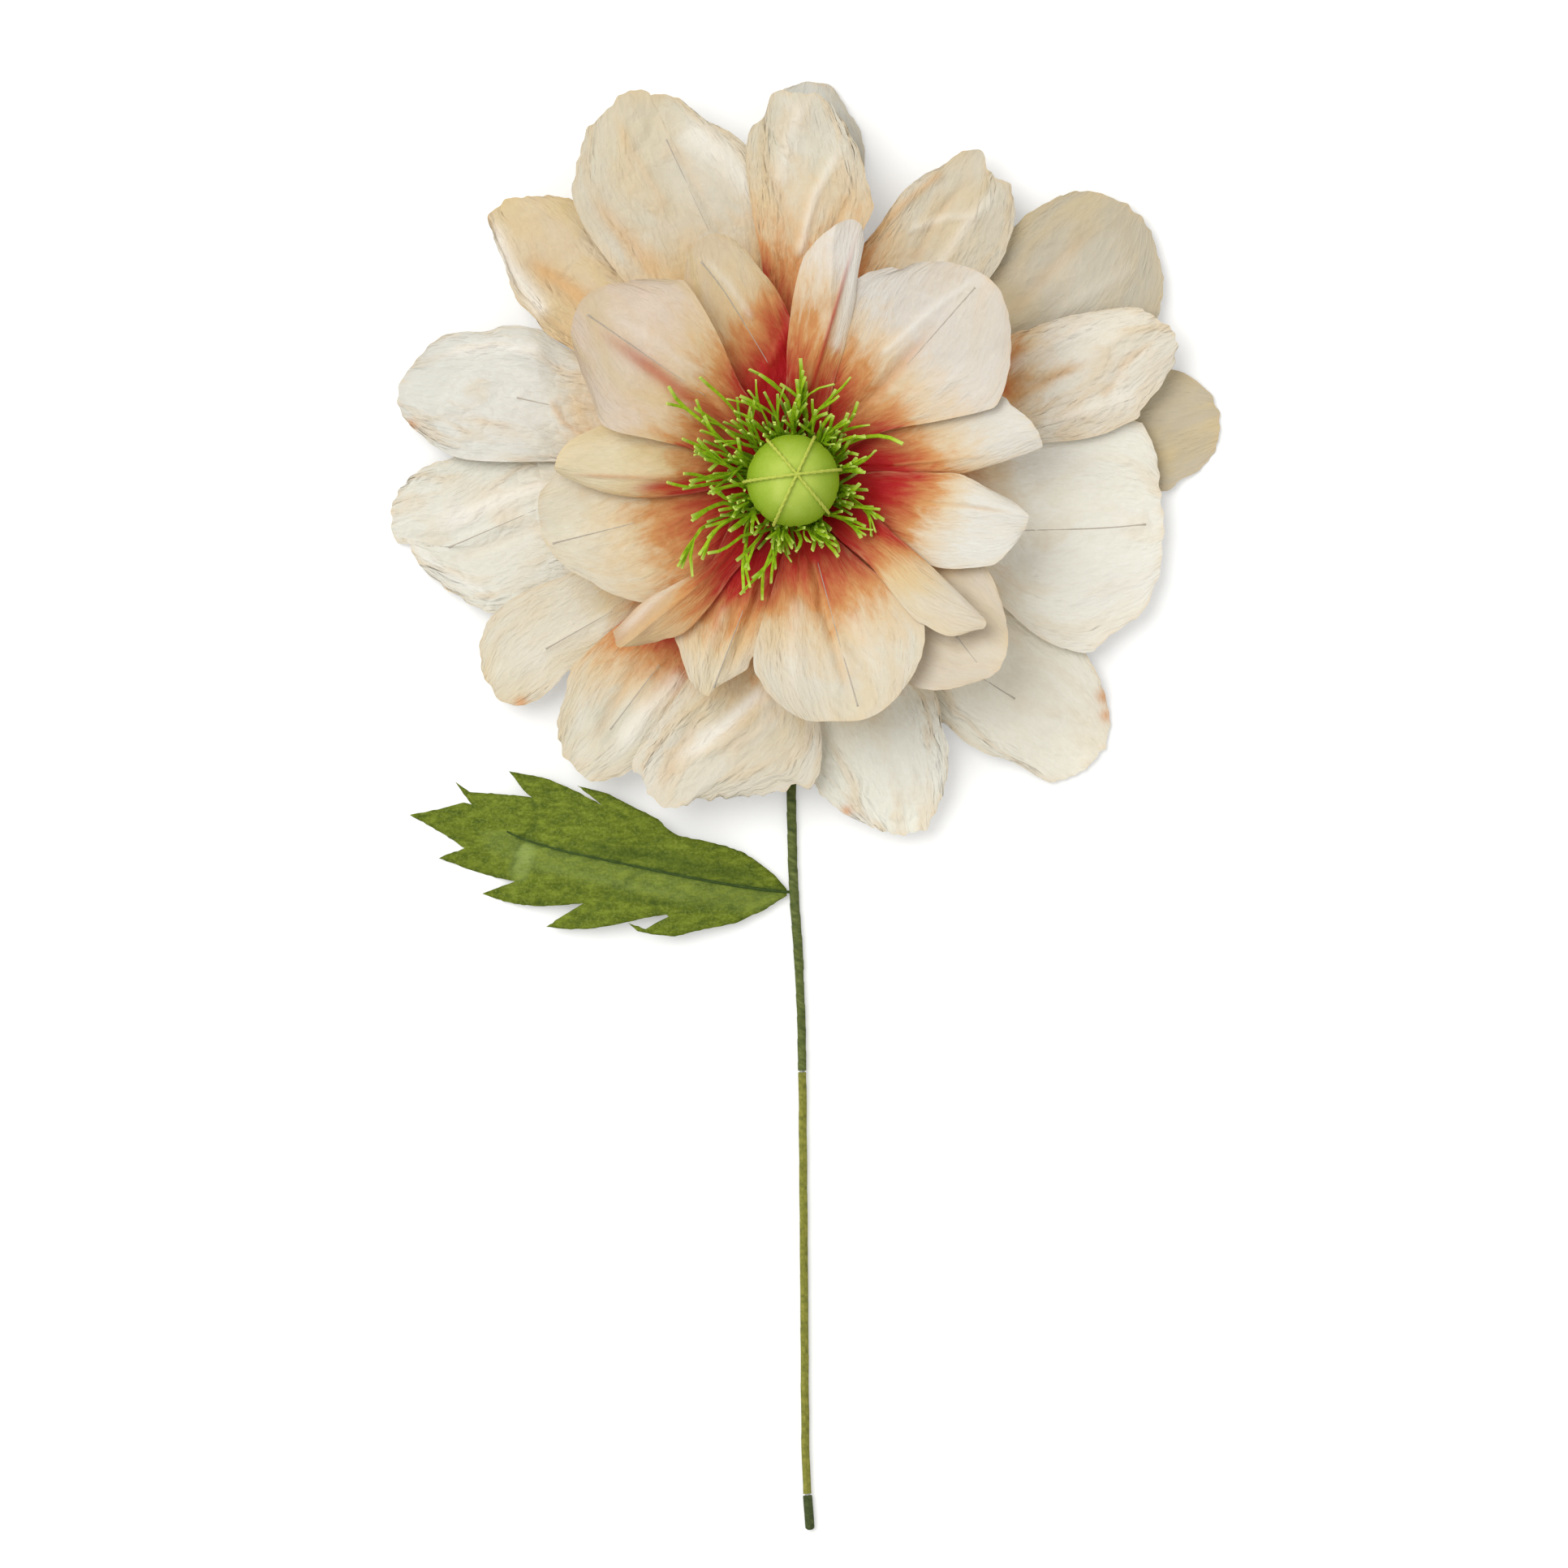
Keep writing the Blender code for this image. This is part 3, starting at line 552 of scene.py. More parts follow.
def named_creases(plan, ridges):
    """Height of the listed creases, and their tan, pale and red tints.

    Each is its line, height and width, then its tint (painted shade above 0, painted highlight below) and
    its red.
    """
    height, tan, pale, red = np.zeros((4, *plan.shape[:2]))
    for line, lift, width, *tints in ridges:
        tint, deep = (*tints, 0.0, 0.0)[:2]
        gap, share = line_distance(plan, course(line))
        near = gap / width
        fade = ease(share / 0.4 + 0.1)
        height += lift * tent(near) * fade
        # Tan is painted shade along the crease, pale a painted highlight on it, red the dye in it.
        tan = np.maximum(tan, tint * np.exp(-(near * 2) ** 2) * fade)
        pale = np.maximum(pale, -tint * np.exp(-(near * 1.6) ** 2) * ease(share / 0.3 + 0.3))
        red = np.maximum(red, deep * np.exp(-(near * 1.5) ** 2) * fade)
    return height, tan, pale, red


def curled_edge(plan, u, v, side, width, lift):
    """Height of an edge that curls up, on the right side (1) or the left (-1)."""
    across = np.linalg.norm(plan[:, -1] - plan[:, 0], axis=-1)[:, None]
    inside = (1 - side * v) * across / 2
    return lift * (1 - ease((inside - width) / 2.5)) * ease((u - 0.4) / 0.15)


# %% Stain and grain of a petal
STAIN_AT_RED = 0.25
STAIN_AT_CREAM = 0.75
FLANK_DYE_AND_SHADE = 0.26
SHADED = 0.5
SHADE_REACH = 34
MOST_TAN = 0.7
SPOT = 0.75


def stain_share(plan, v, ring, rim_gap, red, cream):
    """Where the blood red ends and the cream starts, each at three places across, as shares of the ramp."""
    r = np.linalg.norm(plan, axis=-1)
    ends = np.interp(v, (-1, 0, 1), red)
    starts = np.interp(v, (-1, 0, 1), cream)
    share = STAIN_AT_RED + (STAIN_AT_CREAM - STAIN_AT_RED) * (r - ends) / (starts - ends)
    # Near the side edges of the stained part the ramp runs redder and darker: partly dye gathered there,
    # partly painted shade where neighbours overlap.
    return share - FLANK_DYE_AND_SHADE * np.exp(-rim_gap / 3.0) * ease((ring.skirt + 14 - r) / 20)


def age_and_shade_share(r, ring, paper):
    """How tan the paper is: tan with age on yellower paper, plus painted warm shade nearer the head, where
    other petals lie over it.
    """
    yellow = (paper[0] - paper[2]) / paper[0]
    tan = min(max((yellow - 0.05) / 0.25, 0), MOST_TAN)
    return np.minimum(tan + SHADED * ease((ring.skirt + SHADE_REACH - r) / SHADE_REACH), 0.9)


def spot_share(plan, spots):
    """How strong the small brown spots are, each given by its x, y and size."""
    strength = np.zeros(plan.shape[:2])
    for x, y, size in spots:
        gap = np.linalg.norm(plan - (x, y), axis=-1)
        strength = np.maximum(strength, SPOT * np.exp(-(gap / size) ** 2))
    return strength


def grain_map(plan, v, rng):
    """Places for the noise: across the petal, out from the axis, and a layer of the petal's own."""
    beside = np.linalg.norm(plan - plan[:, PETAL_COLUMNS // 2, None], axis=-1)
    across = v * (np.maximum(beside, 3) * 0.5 + 22)
    return np.dstack([across, np.linalg.norm(plan, axis=-1), np.full(v.shape, rng.uniform(0, 900))])


# %% Petal maker
HIDDEN_RED = (60, 60, 60)
HIDDEN_CREAM = (100, 100, 100)
LOOSE_FROM = 0.08
LOOSE_OVER = 0.3
EDGE_WAVE = 7.0
WIRE_LIFT = 0.8
WIRE_SPREAD = 2.2
OFF_TABLE = 0.05
petal_surfaces = {}


def make_petal(node, ring, step, cup, fold, left, tip, right, middle, paper, red=HIDDEN_RED,
               cream=HIDDEN_CREAM, crease=1.0, wire="", ridges=(), spots=(), turned=(), ragged=None):
    """Thin creased paper in the place of one petal solid."""
    rng = np.random.default_rng(sum(ord(c) * (k + 3) for k, c in enumerate(node)))
    plan, u, v = petal_plan(*map(course, (left, tip, right, middle)), ring.skirt)
    outline = np.vstack([plan[:, 0], plan[-1, 1:-1], plan[::-1, -1]])
    rim_gap, rim_share = line_distance(plan, outline[::3])
    wobble = swell(plan, rng, 5, EDGE_WAVE, ragged or ring.ragged) * np.exp(-rim_gap / 4)
    outward = plan / np.linalg.norm(plan, axis=-1, keepdims=True)
    plan = plan + outward * wobble[..., None] * ease(u / 0.3)[..., None]
    loose = ease((u - LOOSE_FROM) / LOOSE_OVER)
    height = bed(ring, plan, u, v, step, cup, fold) + creased(plan, u, v, rng, crease, loose)
    ruffle = np.cos(math.tau * rim_share * rng.integers(5, 9) + rng.uniform(0, 6)) + 1
    height += ruffle * RUFFLE * np.exp(-rim_gap / 6) * loose
    lift, crease_shade, ridge_highlight, red_tint = named_creases(plan, ridges)
    height += lift
    wire = course(wire)
    if wire:
        height += WIRE_LIFT * tent(line_distance(plan, wire)[0] / WIRE_SPREAD)
    if turned:
        height += curled_edge(plan, u, v, *turned)
    height = np.maximum(height, OFF_TABLE)
    faces = [np.dstack([plan, height + above]).reshape(-1, 3) * MM + AXIS for above in (SHEET, 0)]
    piece = new_piece(node + "_paper", np.vstack(faces), sheet_faces(*u.shape), PETAL_PAPER)
    piece.data.set_sharp_from_angle(angle=math.radians(70))
    # Kept for the finish; among them are painted warm shade near the head, painted shade along the named
    # creases and painted highlights on their ridges.
    kept = {"grain_map": grain_map(plan, v, rng), "stain": stain_share(plan, v, ring, rim_gap, red, cream),
            "age_and_shade": age_and_shade_share(np.linalg.norm(plan, axis=-1), ring, paper),
            "crumpled": np.clip((crease - 0.2) / 1.3, 0.1, 1) * loose,
            "rim": np.exp(-rim_gap / 1.6) * loose, "crease_shade": crease_shade, "red_tint": red_tint,
            "ridge_highlight": ridge_highlight, "spot": spot_share(plan, spots),
            "paper_tint": np.broadcast_to(dye(*paper), (*u.shape, 3))}
    for name, values in kept.items():
        store(piece, name, np.tile(values.reshape(u.size, -1), (2, 1)))
    settle(piece, "petal_paper", node)
    petal_surfaces[node] = (plan, height, wire)


# %% [markdown]
# ## The inner ring
#
# Thirteen petals stand up round the pod. They are the ones that the eye goes to, so each has its own
# table: its ring, its step up, its cup and its fold, then its outline, the wire under it, how far the red
# and the rust have run on its left, middle and right, and its named creases. A shared petal turned
# thirteen times would look stamped out by a machine.

# %% Inner petals, from the upper left to the right
make_petal("inner_petal_01", INNER, 2, 5, 0,
           left="-38,14 -68,20 -90,26 -97,41 -104,60", tip="-106,71 -104,80 -100,87 -90,93",
           right="-20,34 -36,70 -50,93 -58,96 -73,96", middle="-22,26 -42,41 -70,60 -101,87",
           paper=(228, 208, 187), red=(34, 32, 44), cream=(72, 74, 88), crease=0.5,
           wire="-98,79 -70,60 -42,41",
           ridges=[("-96,74 -68,54 -42,34 -30,25", -2.4, 5, 0.3, 0.55),
                   ("-94,84 -66,66 -46,52", 0.6, 4, -0.15)])
make_petal("inner_petal_02", INNER, 0, 0, 0,
           left="-30,28 -47,60 -52,84 -52,95 -51,105", tip="-48,112 -40,118 -31,117",
           right="8,34 6,60 -1,78 -8,92 -16,102 -23,111", middle="-5,30 -12,60 -27,84 -44,114",
           paper=(221, 202, 170), red=(48, 60, 84), cream=(80, 88, 104), crease=0.6,
           wire="-44,105 -33,91 -18,67 -12,57", ridges=[("-42,106 -30,93 -21,80", 0.8, 3, -0.3)])
make_petal("inner_petal_03", INNER, 3, 0, 8,
           left="1,30 -3,56 -1,81 2,97 5,107", tip="12,115 21,122 28,124 33,121",
           right="11,28 22,55 29,82 31,98 34,113", middle="6,28 9,52 19,81 30,122", paper=(234, 228, 219),
           red=(40, 38, 36), cream=(98, 90, 72), crease=0.4,
           ridges=[("31,119 20,81 10,48 6,34", 1.2, 1.5, 0, 0.75), ("33,113 27,88 21,66", 0, 5, -0.6)])
make_petal("inner_petal_04", INNER, 2, 4, 0,
           left="10,32 18,66 26,90 33,98 47,102", tip="52,101 59,104 70,104.5 80,103 91,98 99,90",
           right="32,22 66,28 90,33 98,37 103,52 104,66 103,79", middle="22,26 41,42 62,63 93,96",
           paper=(219, 212, 202), red=(48, 32, 36), cream=(82, 74, 74), crease=0.7, wire="87,92 55,56",
           ridges=[("70,76 45,48 30,32", -2.6, 5, 0.3, 0.15), ("88,98 62,78 44,62", 0.8, 2.2, -0.4),
                   ("98,70 76,50 58,40", 0, 12, -0.12)])
make_petal("inner_petal_05", INNER, 1, 0, 5,
           left="30,18 62,32 86,41 99,41 105,36", tip="112,30 117,23 119,16",
           right="32,3 60,2 78,3 91,7 101,10 114,14", middle="30,8 49,8 72,10 91,12 118,18",
           paper=(223, 219, 208), red=(32, 52, 64), cream=(70, 84, 94), crease=0.45,
           ridges=[("100,13 72,10 49,8", 0.8, 1.6, 0.3)])
make_petal("inner_petal_06", INNER, 2, 0, 5,
           left="30,0 50,4 70,4 81,3 96,-5 106,-10", tip="112,-16 112,-20",
           right="28,-15 48,-28 68,-41 92,-41 99,-38 103,-34 109,-27", middle="32,-5 60,-10 85,-12 112,-18",
           paper=(226, 224, 214), red=(56, 50, 38), cream=(82, 76, 70), crease=0.45,
           ridges=[("108,-16 81,-12 60,-10", -1, 1.8, 0.4)])
make_petal("inner_petal_07", INNER, 3, 0, 6,
           left="28,-12 48,-25 61,-36 76,-50 85,-59", tip="92,-67 91,-71",
           right="22,-22 40,-44 56,-64 63,-69 75,-74.5 89,-71", middle="26,-18 48,-34 66,-52 91,-69",
           paper=(219, 208, 188), red=(56, 40, 36), cream=(78, 72, 66), crease=0.5)
make_petal("inner_petal_08", INNER, 0, 0, 0,
           left="28,-18 58,-30 84,-36 92,-41 97,-50 101,-62", tip="103,-74 102,-83 97,-92",
           right="18,-28 38,-66 48,-88 57,-98 72,-100 89,-96", middle="23,-22 50,-46 78,-74 98,-90",
           paper=(216, 205, 186), red=(60, 44, 36), cream=(88, 76, 66), crease=0.45, wire="78,-74 88,-87")
print("petals so far:", len(petal_surfaces))

# %% Inner petals, from below the pod to the left
make_petal("inner_petal_09", INNER, 2, 3, 0,
           left="14,-26 40,-44 60,-62 63,-75 61,-85 57,-94",
           tip="51,-102 44,-109 37,-113 29,-115 19,-115 8,-115",
           right="0,-30 -12,-58 -19,-85 -15,-97 -10,-104 -2,-111", middle="8,-28 12,-39 22,-76 30,-115",
           paper=(219, 212, 193), red=(36, 40, 34), cream=(76, 80, 70), crease=0.85,
           wire="31,-108 22,-76 12,-39",
           ridges=[("20,-64 12,-39 9,-28", -1, 1.8, 0, 0.8), ("28,-106 19,-76 10,-40", -2.6, 3.6, 0.3),
                   ("2,-104 0,-78 2,-60", 1.2, 6, -0.2), ("44,-98 36,-80 30,-66", 1, 6, -0.15)])
make_petal("inner_petal_10", INNER, 0, 0, 0,
           left="-2,-30 -6,-60 -14,-78 -20,-85 -22,-90 -30,-95", tip="-37,-99 -41,-103",
           right="-20,-22 -42,-44 -56,-70 -54,-82 -51,-92 -47,-99",
           middle="-12,-28 -24,-62 -34,-88 -42,-102", paper=(226, 216, 194), red=(44, 54, 72),
           cream=(72, 84, 94), crease=0.6, wire="-38,-99 -24,-62",
           ridges=[("-46,-94 -38,-74 -33,-62", 1.2, 4, -0.12), ("-33,-96 -21,-68 -14,-46", -2.4, 3.6, 0.3)])
make_petal("inner_petal_11", INNER, 1, 0, 6,
           left="-17,-24 -34,-52 -50,-71 -62,-76 -72,-78.5", tip="-80,-79.5 -84,-79",
           right="-24,-18 -40,-39 -58,-50 -72,-58 -86,-72", middle="-20,-21 -47,-51 -63,-63 -84,-78",
           paper=(200, 160, 124), red=(60, 50, 40), cream=(98, 94, 82), crease=0.4,
           ridges=[("-77,-76 -63,-63 -47,-51", 0.8, 1.6, 0.4), ("-84,-74 -68,-58 -52,-44", 0.8, 4, -0.4)])
make_petal("inner_petal_12", INNER, 0, 0, 0,
           left="-26,-18 -44,-46 -62,-58 -73,-58 -89,-53 -97,-48 -107,-43",
           tip="-114,-36 -120,-27 -121,-19 -122,-12", right="-30,-1 -60,6 -92,9 -110,5 -121,-5",
           middle="-30,-7 -76,-20 -98,-26 -121,-24", paper=(234, 227, 206), red=(42, 40, 44),
           cream=(90, 86, 82), crease=0.5, wire="-115,-30 -76,-20")
make_petal("inner_petal_13", INNER, 1, 0, 5,
           left="-30,2 -52,-6 -72,-8 -92,-5 -110,2", tip="-114,6",
           right="-30,14 -54,30 -76,33 -91,27 -100,23 -108,18 -112,13", middle="-31,5 -58,3 -84,3 -113,6",
           paper=(236, 222, 187), red=(54, 36, 28), cream=(86, 68, 60), crease=0.45,
           ridges=[("-109,3 -84,2 -58,1", 0.9, 1.6, 0.35, 0.2), ("-80,-4 -56,-2 -30,3", -1, 4, 0, 0.85)])
print("petals so far:", len(petal_surfaces))

# %% [markdown]
# ## The outer ring
#
# Sixteen longer petals lie out flat behind the inner ones. They were wetted and scrunched before they were
# wired, so they are more crumpled, and their edges are torn rather than cut. The deeper the stain at their
# root, the more of it peeps out between the inner petals.

# %% Outer petals of the far side
make_petal("outer_petal_01", OUTER, 3, 0, 0,
           left="-36,46 -74,88 -98,119 -106,137 -105,146 -103,157 -100,168",
           tip="-96,173 -89,180 -82,187 -75,189 -69.5,188 -68.5,185.5 -67,186.3 -62,187 -54,184 -47,177",
           right="-2,50 0,100 -6,140 -14,156 -24,164 -33,170 -41,173",
           middle="-20,48 -39,118 -57,156 -70,188", paper=(210, 203, 182), red=(60, 60, 70),
           cream=(118, 104, 128), wire="-61,165 -39,118",
           ridges=[("-88,180 -78,160 -62,134", 1.4, 4.5, 0.25),
                   ("-54,172 -34,158 -16,138", 1.2, 12, -0.55), ("-99,140 -84,122 -68,104", -1, 9, 0.4),
                   ("-60,166 -48,146 -34,120", -1.4, 4, 0.1)])
make_petal("outer_petal_02", OUTER, 4, 0, 0,
           left="-4,50 -14,100 -22,145 -22,165 -19,171", tip="-14,175 -12,182 -9,187 0,187.5 12,186 17,183",
           right="9,50 24,90 34,121 37,127 39,133 37,139 35,147 33,156 28,167 23,175",
           middle="2,50 6,110 8,150 2,187", paper=(215, 209, 189), red=(66, 62, 66), cream=(134, 122, 134),
           crease=1.1,
           ridges=[("22,160 10,136 4,112", 1.6, 3.5, -0.4), ("-16,158 -6,138 2,118", -1.4, 4, 0.3),
                   ("30,146 22,126 12,108", -1.2, 3.5, 0.35), ("6,184 -2,164 -6,146", 1, 6, -0.3)])
make_petal("outer_petal_03", OUTER, 0, 0, 0,
           left="-1,50 -8,110 -10,160 -8,185 0,193", tip="9,194 17,192",
           right="8,50 22,100 34,148 33,168 30,174 26,181 22,188", middle="4,50 10,120 13,160 11,193",
           paper=(206, 206, 196), cream=(104, 104, 104), crease=0.7)
make_petal("outer_petal_04", OUTER, 2, 0, 0,
           left="10,50 18,84 30,107 34,115 41,123 49,135 57,144 66,149",
           tip="75,155 83,160 90,159.5 93,157 93.5,150 101,146",
           right="30,40 66,68 96,100 106,123 106.5,136 105,142", middle="22,45 50,92 72,125 90,157",
           paper=(209, 201, 180), red=(92, 66, 66), cream=(138, 104, 98), crease=1.2,
           ridges=[("34,113 52,133 70,148", 1.4, 4, 0.5), ("88,150 68,126 60,108", -1.8, 4, 0.2),
                   ("98,140 84,124 70,104", 1.6, 5, -0.35), ("92,128 74,128 58,122", 1.2, 3, -0.3)])
make_petal("outer_petal_05", OUTER, 1, 0, 0,
           left="30,40 60,86 92,116 106,123 112,129 119,133 126,137 133,140",
           tip="142,141 150,139 160,135 167,129",
           right="44,22 102,40 152,58 174,77 178,90 178,102 175,114 173,122",
           middle="36,30 90,70 130,101 163,133", paper=(190, 181, 158), crease=0.6,
           ridges=[("168,106 140,90 112,68", 1, 5, -0.12), ("150,128 128,106 108,84", -1, 6, 0.18)])
make_petal("outer_petal_06", OUTER, 2, 0, 4,
           left="42,24 76,52 105,71 114,74 128,79 142,82 160,85", tip="167,84 175,79 182,74 185,67",
           right="48,11 92,17 140,21 164,30 168,35 175,44 182,54 184,60",
           middle="46,17 103,38 142,58 183,72", paper=(232, 226, 210), red=(104, 92, 66),
           cream=(138, 124, 100), crease=1.3,
           ridges=[("144,59 124,50 103,38", -2, 4.5, 0.55), ("150,78 128,68 106,56", 1.2, 5, -0.3),
                   ("168,42 146,36 122,28", 1.2, 6, -0.4), ("176,70 160,58 150,42", -1.2, 3, 0.25)])
make_petal("outer_petal_07", OUTER, 0, 0, 0,
           left="48,10 96,24 146,43 178,55 192,51 199,46", tip="204,39 206,31 205,21",
           right="50,0 100,-2 150,-6 177,-4 182,-3 188,2 195,6 201,11", middle="50,5 110,14 160,20 206,28",
           paper=(196, 184, 157), crease=0.4)
make_petal("outer_petal_08", OUTER, 1, 0, 0,
           left="49,8 92,24 132,33 164,30 170,26 174,18 176,9",
           tip="177,-1 178,-12 179,-21 178,-34 177,-42",
           right="46,-16 86,-46 118,-74 141,-82 148,-78 155,-72 162,-68 169,-62 174,-52",
           middle="50,-6 110,-23 145,-22 179,-20", paper=(243, 241, 227), cream=(96, 92, 96), crease=0.8,
           wire="170,-20 145,-22 110,-23")
print("petals so far:", len(petal_surfaces))

# %% Outer petals of the near side
make_petal("outer_petal_09", OUTER, 0, 0, 0,
           left="46,-22 92,-46 130,-68 141,-82 146,-91 150,-101 152,-109",
           tip="153,-116 151,-126 146,-133 139,-139 131,-143 125,-144",
           right="22,-46 40,-86 62,-112 73,-116 82,-124 92,-130 102,-133 109,-136 118,-142",
           middle="35,-35 91,-93 118,-112 145,-134", paper=(242, 238, 221), wire="107,-104 91,-94",
           spots=[(150, -103, 3.5), (151, -112, 3)])
make_petal("outer_petal_10", OUTER, 1, 0, 0,
           left="24,-46 50,-78 68,-100 72,-118 75,-127 75,-134 74,-144",
           tip="71,-153 67,-162 64,-167 57,-169 50,-169 41,-167",
           right="2,-50 -6,-90 -4,-126 11,-146 13,-150 19,-155 26,-160 33,-163",
           middle="16,-48 34,-100 46,-138 53,-169", paper=(240, 239, 224), crease=1.25,
           spots=[(26, -158, 2.6)])
make_petal("outer_petal_11", OUTER, 3, 0, 5,
           left="2,-50 10,-90 14,-128 10,-146 1,-146 -9,-149 -28,-151",
           tip="-38,-152 -47,-153 -52,-155.5 -58,-157 -65,-155 -68,-151 -70,-148 -69,-144",
           right="-20,-44 -44,-84 -62,-112 -74,-128 -77,-135 -76.5,-139 -72,-138 -70,-141",
           middle="-7,-48 -12,-108 -30,-128 -62,-154", paper=(220, 215, 198), red=(60, 60, 64),
           cream=(96, 98, 100), crease=1.2, ragged=1.1,
           ridges=[("-48,-136 -28,-121 -12,-105", 2.6, 4.5), ("-53,-133 -33,-117 -17,-102", 0, 5.5, -0.7),
                   ("-62,-148 -56,-130 -44,-112", -1.4, 5, 0.2)])
make_petal("outer_petal_12", OUTER, 2, 0, 0,
           left="-18,-46 -36,-96 -56,-128 -76,-138 -83,-141 -91,-144", tip="-97,-143 -104,-139 -110,-132",
           right="-36,-34 -76,-62 -101,-83 -107,-90 -110,-103 -113,-113 -113,-123",
           middle="-30,-40 -63,-86 -88,-119 -105,-138", paper=(216, 211, 190), red=(86, 90, 96),
           cream=(112, 122, 132), crease=0.9, wire="-88,-119 -63,-86",
           ridges=[("-84,-128 -70,-110 -56,-96", 0.9, 8, -0.5), ("-98,-128 -86,-108 -74,-88", -1, 5, 0.2)])
make_petal("outer_petal_13", OUTER, 1, 0, 0,
           left="-34,-38 -68,-80 -96,-90 -107,-90 -114,-97 -122,-104 -129,-107",
           tip="-135,-107 -142,-104 -146,-99",
           right="-46,-20 -92,-38 -130,-53 -144,-63 -149,-71 -151,-79 -150,-90",
           middle="-40,-26 -87,-62 -119,-80 -145,-100", paper=(224, 217, 196), red=(92, 72, 72),
           cream=(126, 98, 98), crease=0.8, wire="-119,-80 -87,-62", spots=[(-131, -106, 3)],
           turned=(-1, 3, 1.2))
make_petal("outer_petal_14", OUTER, 0, 0, 0,
           left="-46,-20 -92,-50 -128,-62 -144,-63 -153,-60 -161,-55 -168,-50 -177,-43",
           tip="-182,-36 -186,-29 -188,-28.5 -187.5,-26 -191,-29 -194,-20 -193,-10",
           right="-48,12 -94,26 -138,26 -165,12 -173,10 -182,5 -189,-2",
           middle="-50,-4 -124,-13 -160,-22 -193,-20", paper=(228, 227, 214), crease=1.2,
           wire="-166,-31 -124,-13",
           ridges=[("-172,-22 -150,-12 -122,-2", 1.4, 7, -0.6),
                   ("-168,-38 -146,-30 -120,-20", -1.2, 5, 0.12),
                   ("-186,-26 -172,-40 -150,-52", 1.6, 4, -0.35)])
make_petal("outer_petal_15", OUTER, 1, 0, 0,
           left="-50,6 -100,10 -140,10 -161,12 -173,18 -180,24 -185,28",
           tip="-189,35 -191,42 -188,51 -182,59",
           right="-40,28 -76,58 -105,63 -115,69 -122,74 -138,76 -147,73 -156,73 -166,72 -175,67",
           middle="-48,14 -115,37 -150,46 -187,52", paper=(220, 220, 210), cream=(96, 100, 104), crease=1.2,
           wire="-133,41 -115,37", spots=[(-184, 28, 2.6)],
           ridges=[("-110,44 -116,38 -111,29 -100,22 -92,20", 1.8, 3, 0.4),
                   ("-168,62 -146,66 -124,64", 0.8, 5, -0.5), ("-176,34 -152,30 -128,22", -1.2, 6, 0.08)])
make_petal("outer_petal_16", OUTER, 2, 0, 0,
           left="-42,26 -84,50 -105,63 -119,72 -125,80 -133,88 -139,105 -144,118",
           tip="-147,128 -142,133 -135,137 -125,138",
           right="-24,42 -50,84 -78,116 -92,130 -103,134 -108,137 -117,138",
           middle="-36,33 -80,72 -112,98 -140,133", paper=(215, 196, 162), red=(70, 76, 70),
           cream=(128, 116, 108), crease=1.2, turned=(-1, 6, 2.4),
           ridges=[("-130,108 -114,98 -98,86", -2.6, 8, 0.7), ("-145,126 -137,104 -122,84", 0.8, 7, -0.7)])
print("petals made:", len(petal_surfaces))

# %% [markdown]
# ## Tubes, ribbons and cords
#
# The rest of the flower is made of long thin things: wires, tapes, twisted cords and cut threads. One
# helper sweeps a cross-section along a line of points. Its section can change size, shape and turn at each
# point, so the same few lines make a taped stem, a twisted cord and a flat twisted ribbon. Blender's curve
# bevel would sweep only a plain circle.

# %% Sweeping a section along a line
STEEP = 0.9


def line_sides(points):
    """Two crossways directions at each point of a line, turning as little as possible."""
    ahead = np.gradient(points, axis=0)
    ahead /= np.linalg.norm(ahead, axis=1, keepdims=True)
    cross = np.array([0.0, 0.0, 1.0]) if abs(ahead[0][2]) < STEEP else np.array([0.0, 1.0, 0.0])
    side = np.zeros_like(points)
    for k, way in enumerate(ahead):
        cross = cross - way * (cross @ way)
        cross /= np.linalg.norm(cross)
        side[k] = cross
    return side, np.cross(ahead, side)


def band_faces(rings, around):
    """Faces between each ring of points and the next one."""
    here = np.arange(rings * around).reshape(rings, around)
    next_to = np.roll(here, -1, axis=1)
    return np.stack([here[:-1], next_to[:-1], next_to[1:], here[1:]], -1).reshape(-1, 4).tolist()


def sweep(points, section):
    """Closed tube along the points. Section(k) gives the offsets (a, b) round the k-th point."""
    side, other = line_sides(points)
    rings = []
    for k, point in enumerate(points):
        a, b = section(k)
        rings.append(point + a[:, None] * side[k] + b[:, None] * other[k])
    around = len(rings[0])
    last = (len(points) - 1) * around
    faces = band_faces(len(points), around)
    return np.vstack(rings), faces + [list(range(around))[::-1], list(range(last, last + around))]


def gather(parts):
    """Several meshes as one list of points and faces."""
    verts, faces, count = [], [], 0
    for part_verts, part_faces in parts:
        verts.append(part_verts)
        faces += [[i + count for i in face] for face in part_faces]
        count += len(part_verts)
    return np.vstack(verts), faces


def circle(radius, sides):
    """Offsets of a round section."""
    turn = np.arange(sides) * math.tau / sides
    return radius * np.cos(turn), radius * np.sin(turn)


# %% [markdown]
# ## The petal wires
#
# A thin paper-covered wire is glued under each petal. Through the thin paper it shows as a fine grey line,
# most clearly towards its outer end. Here each is a fine tube that lies half sunk in the petal's surface,
# because painting so thin a line on the petal would need a far denser mesh.

# %% Petal wires
WIRE_SHOWS = 0.34
WIRE_SIDES = 8
WIRE_STEP = 1.5
NEAREST = 5


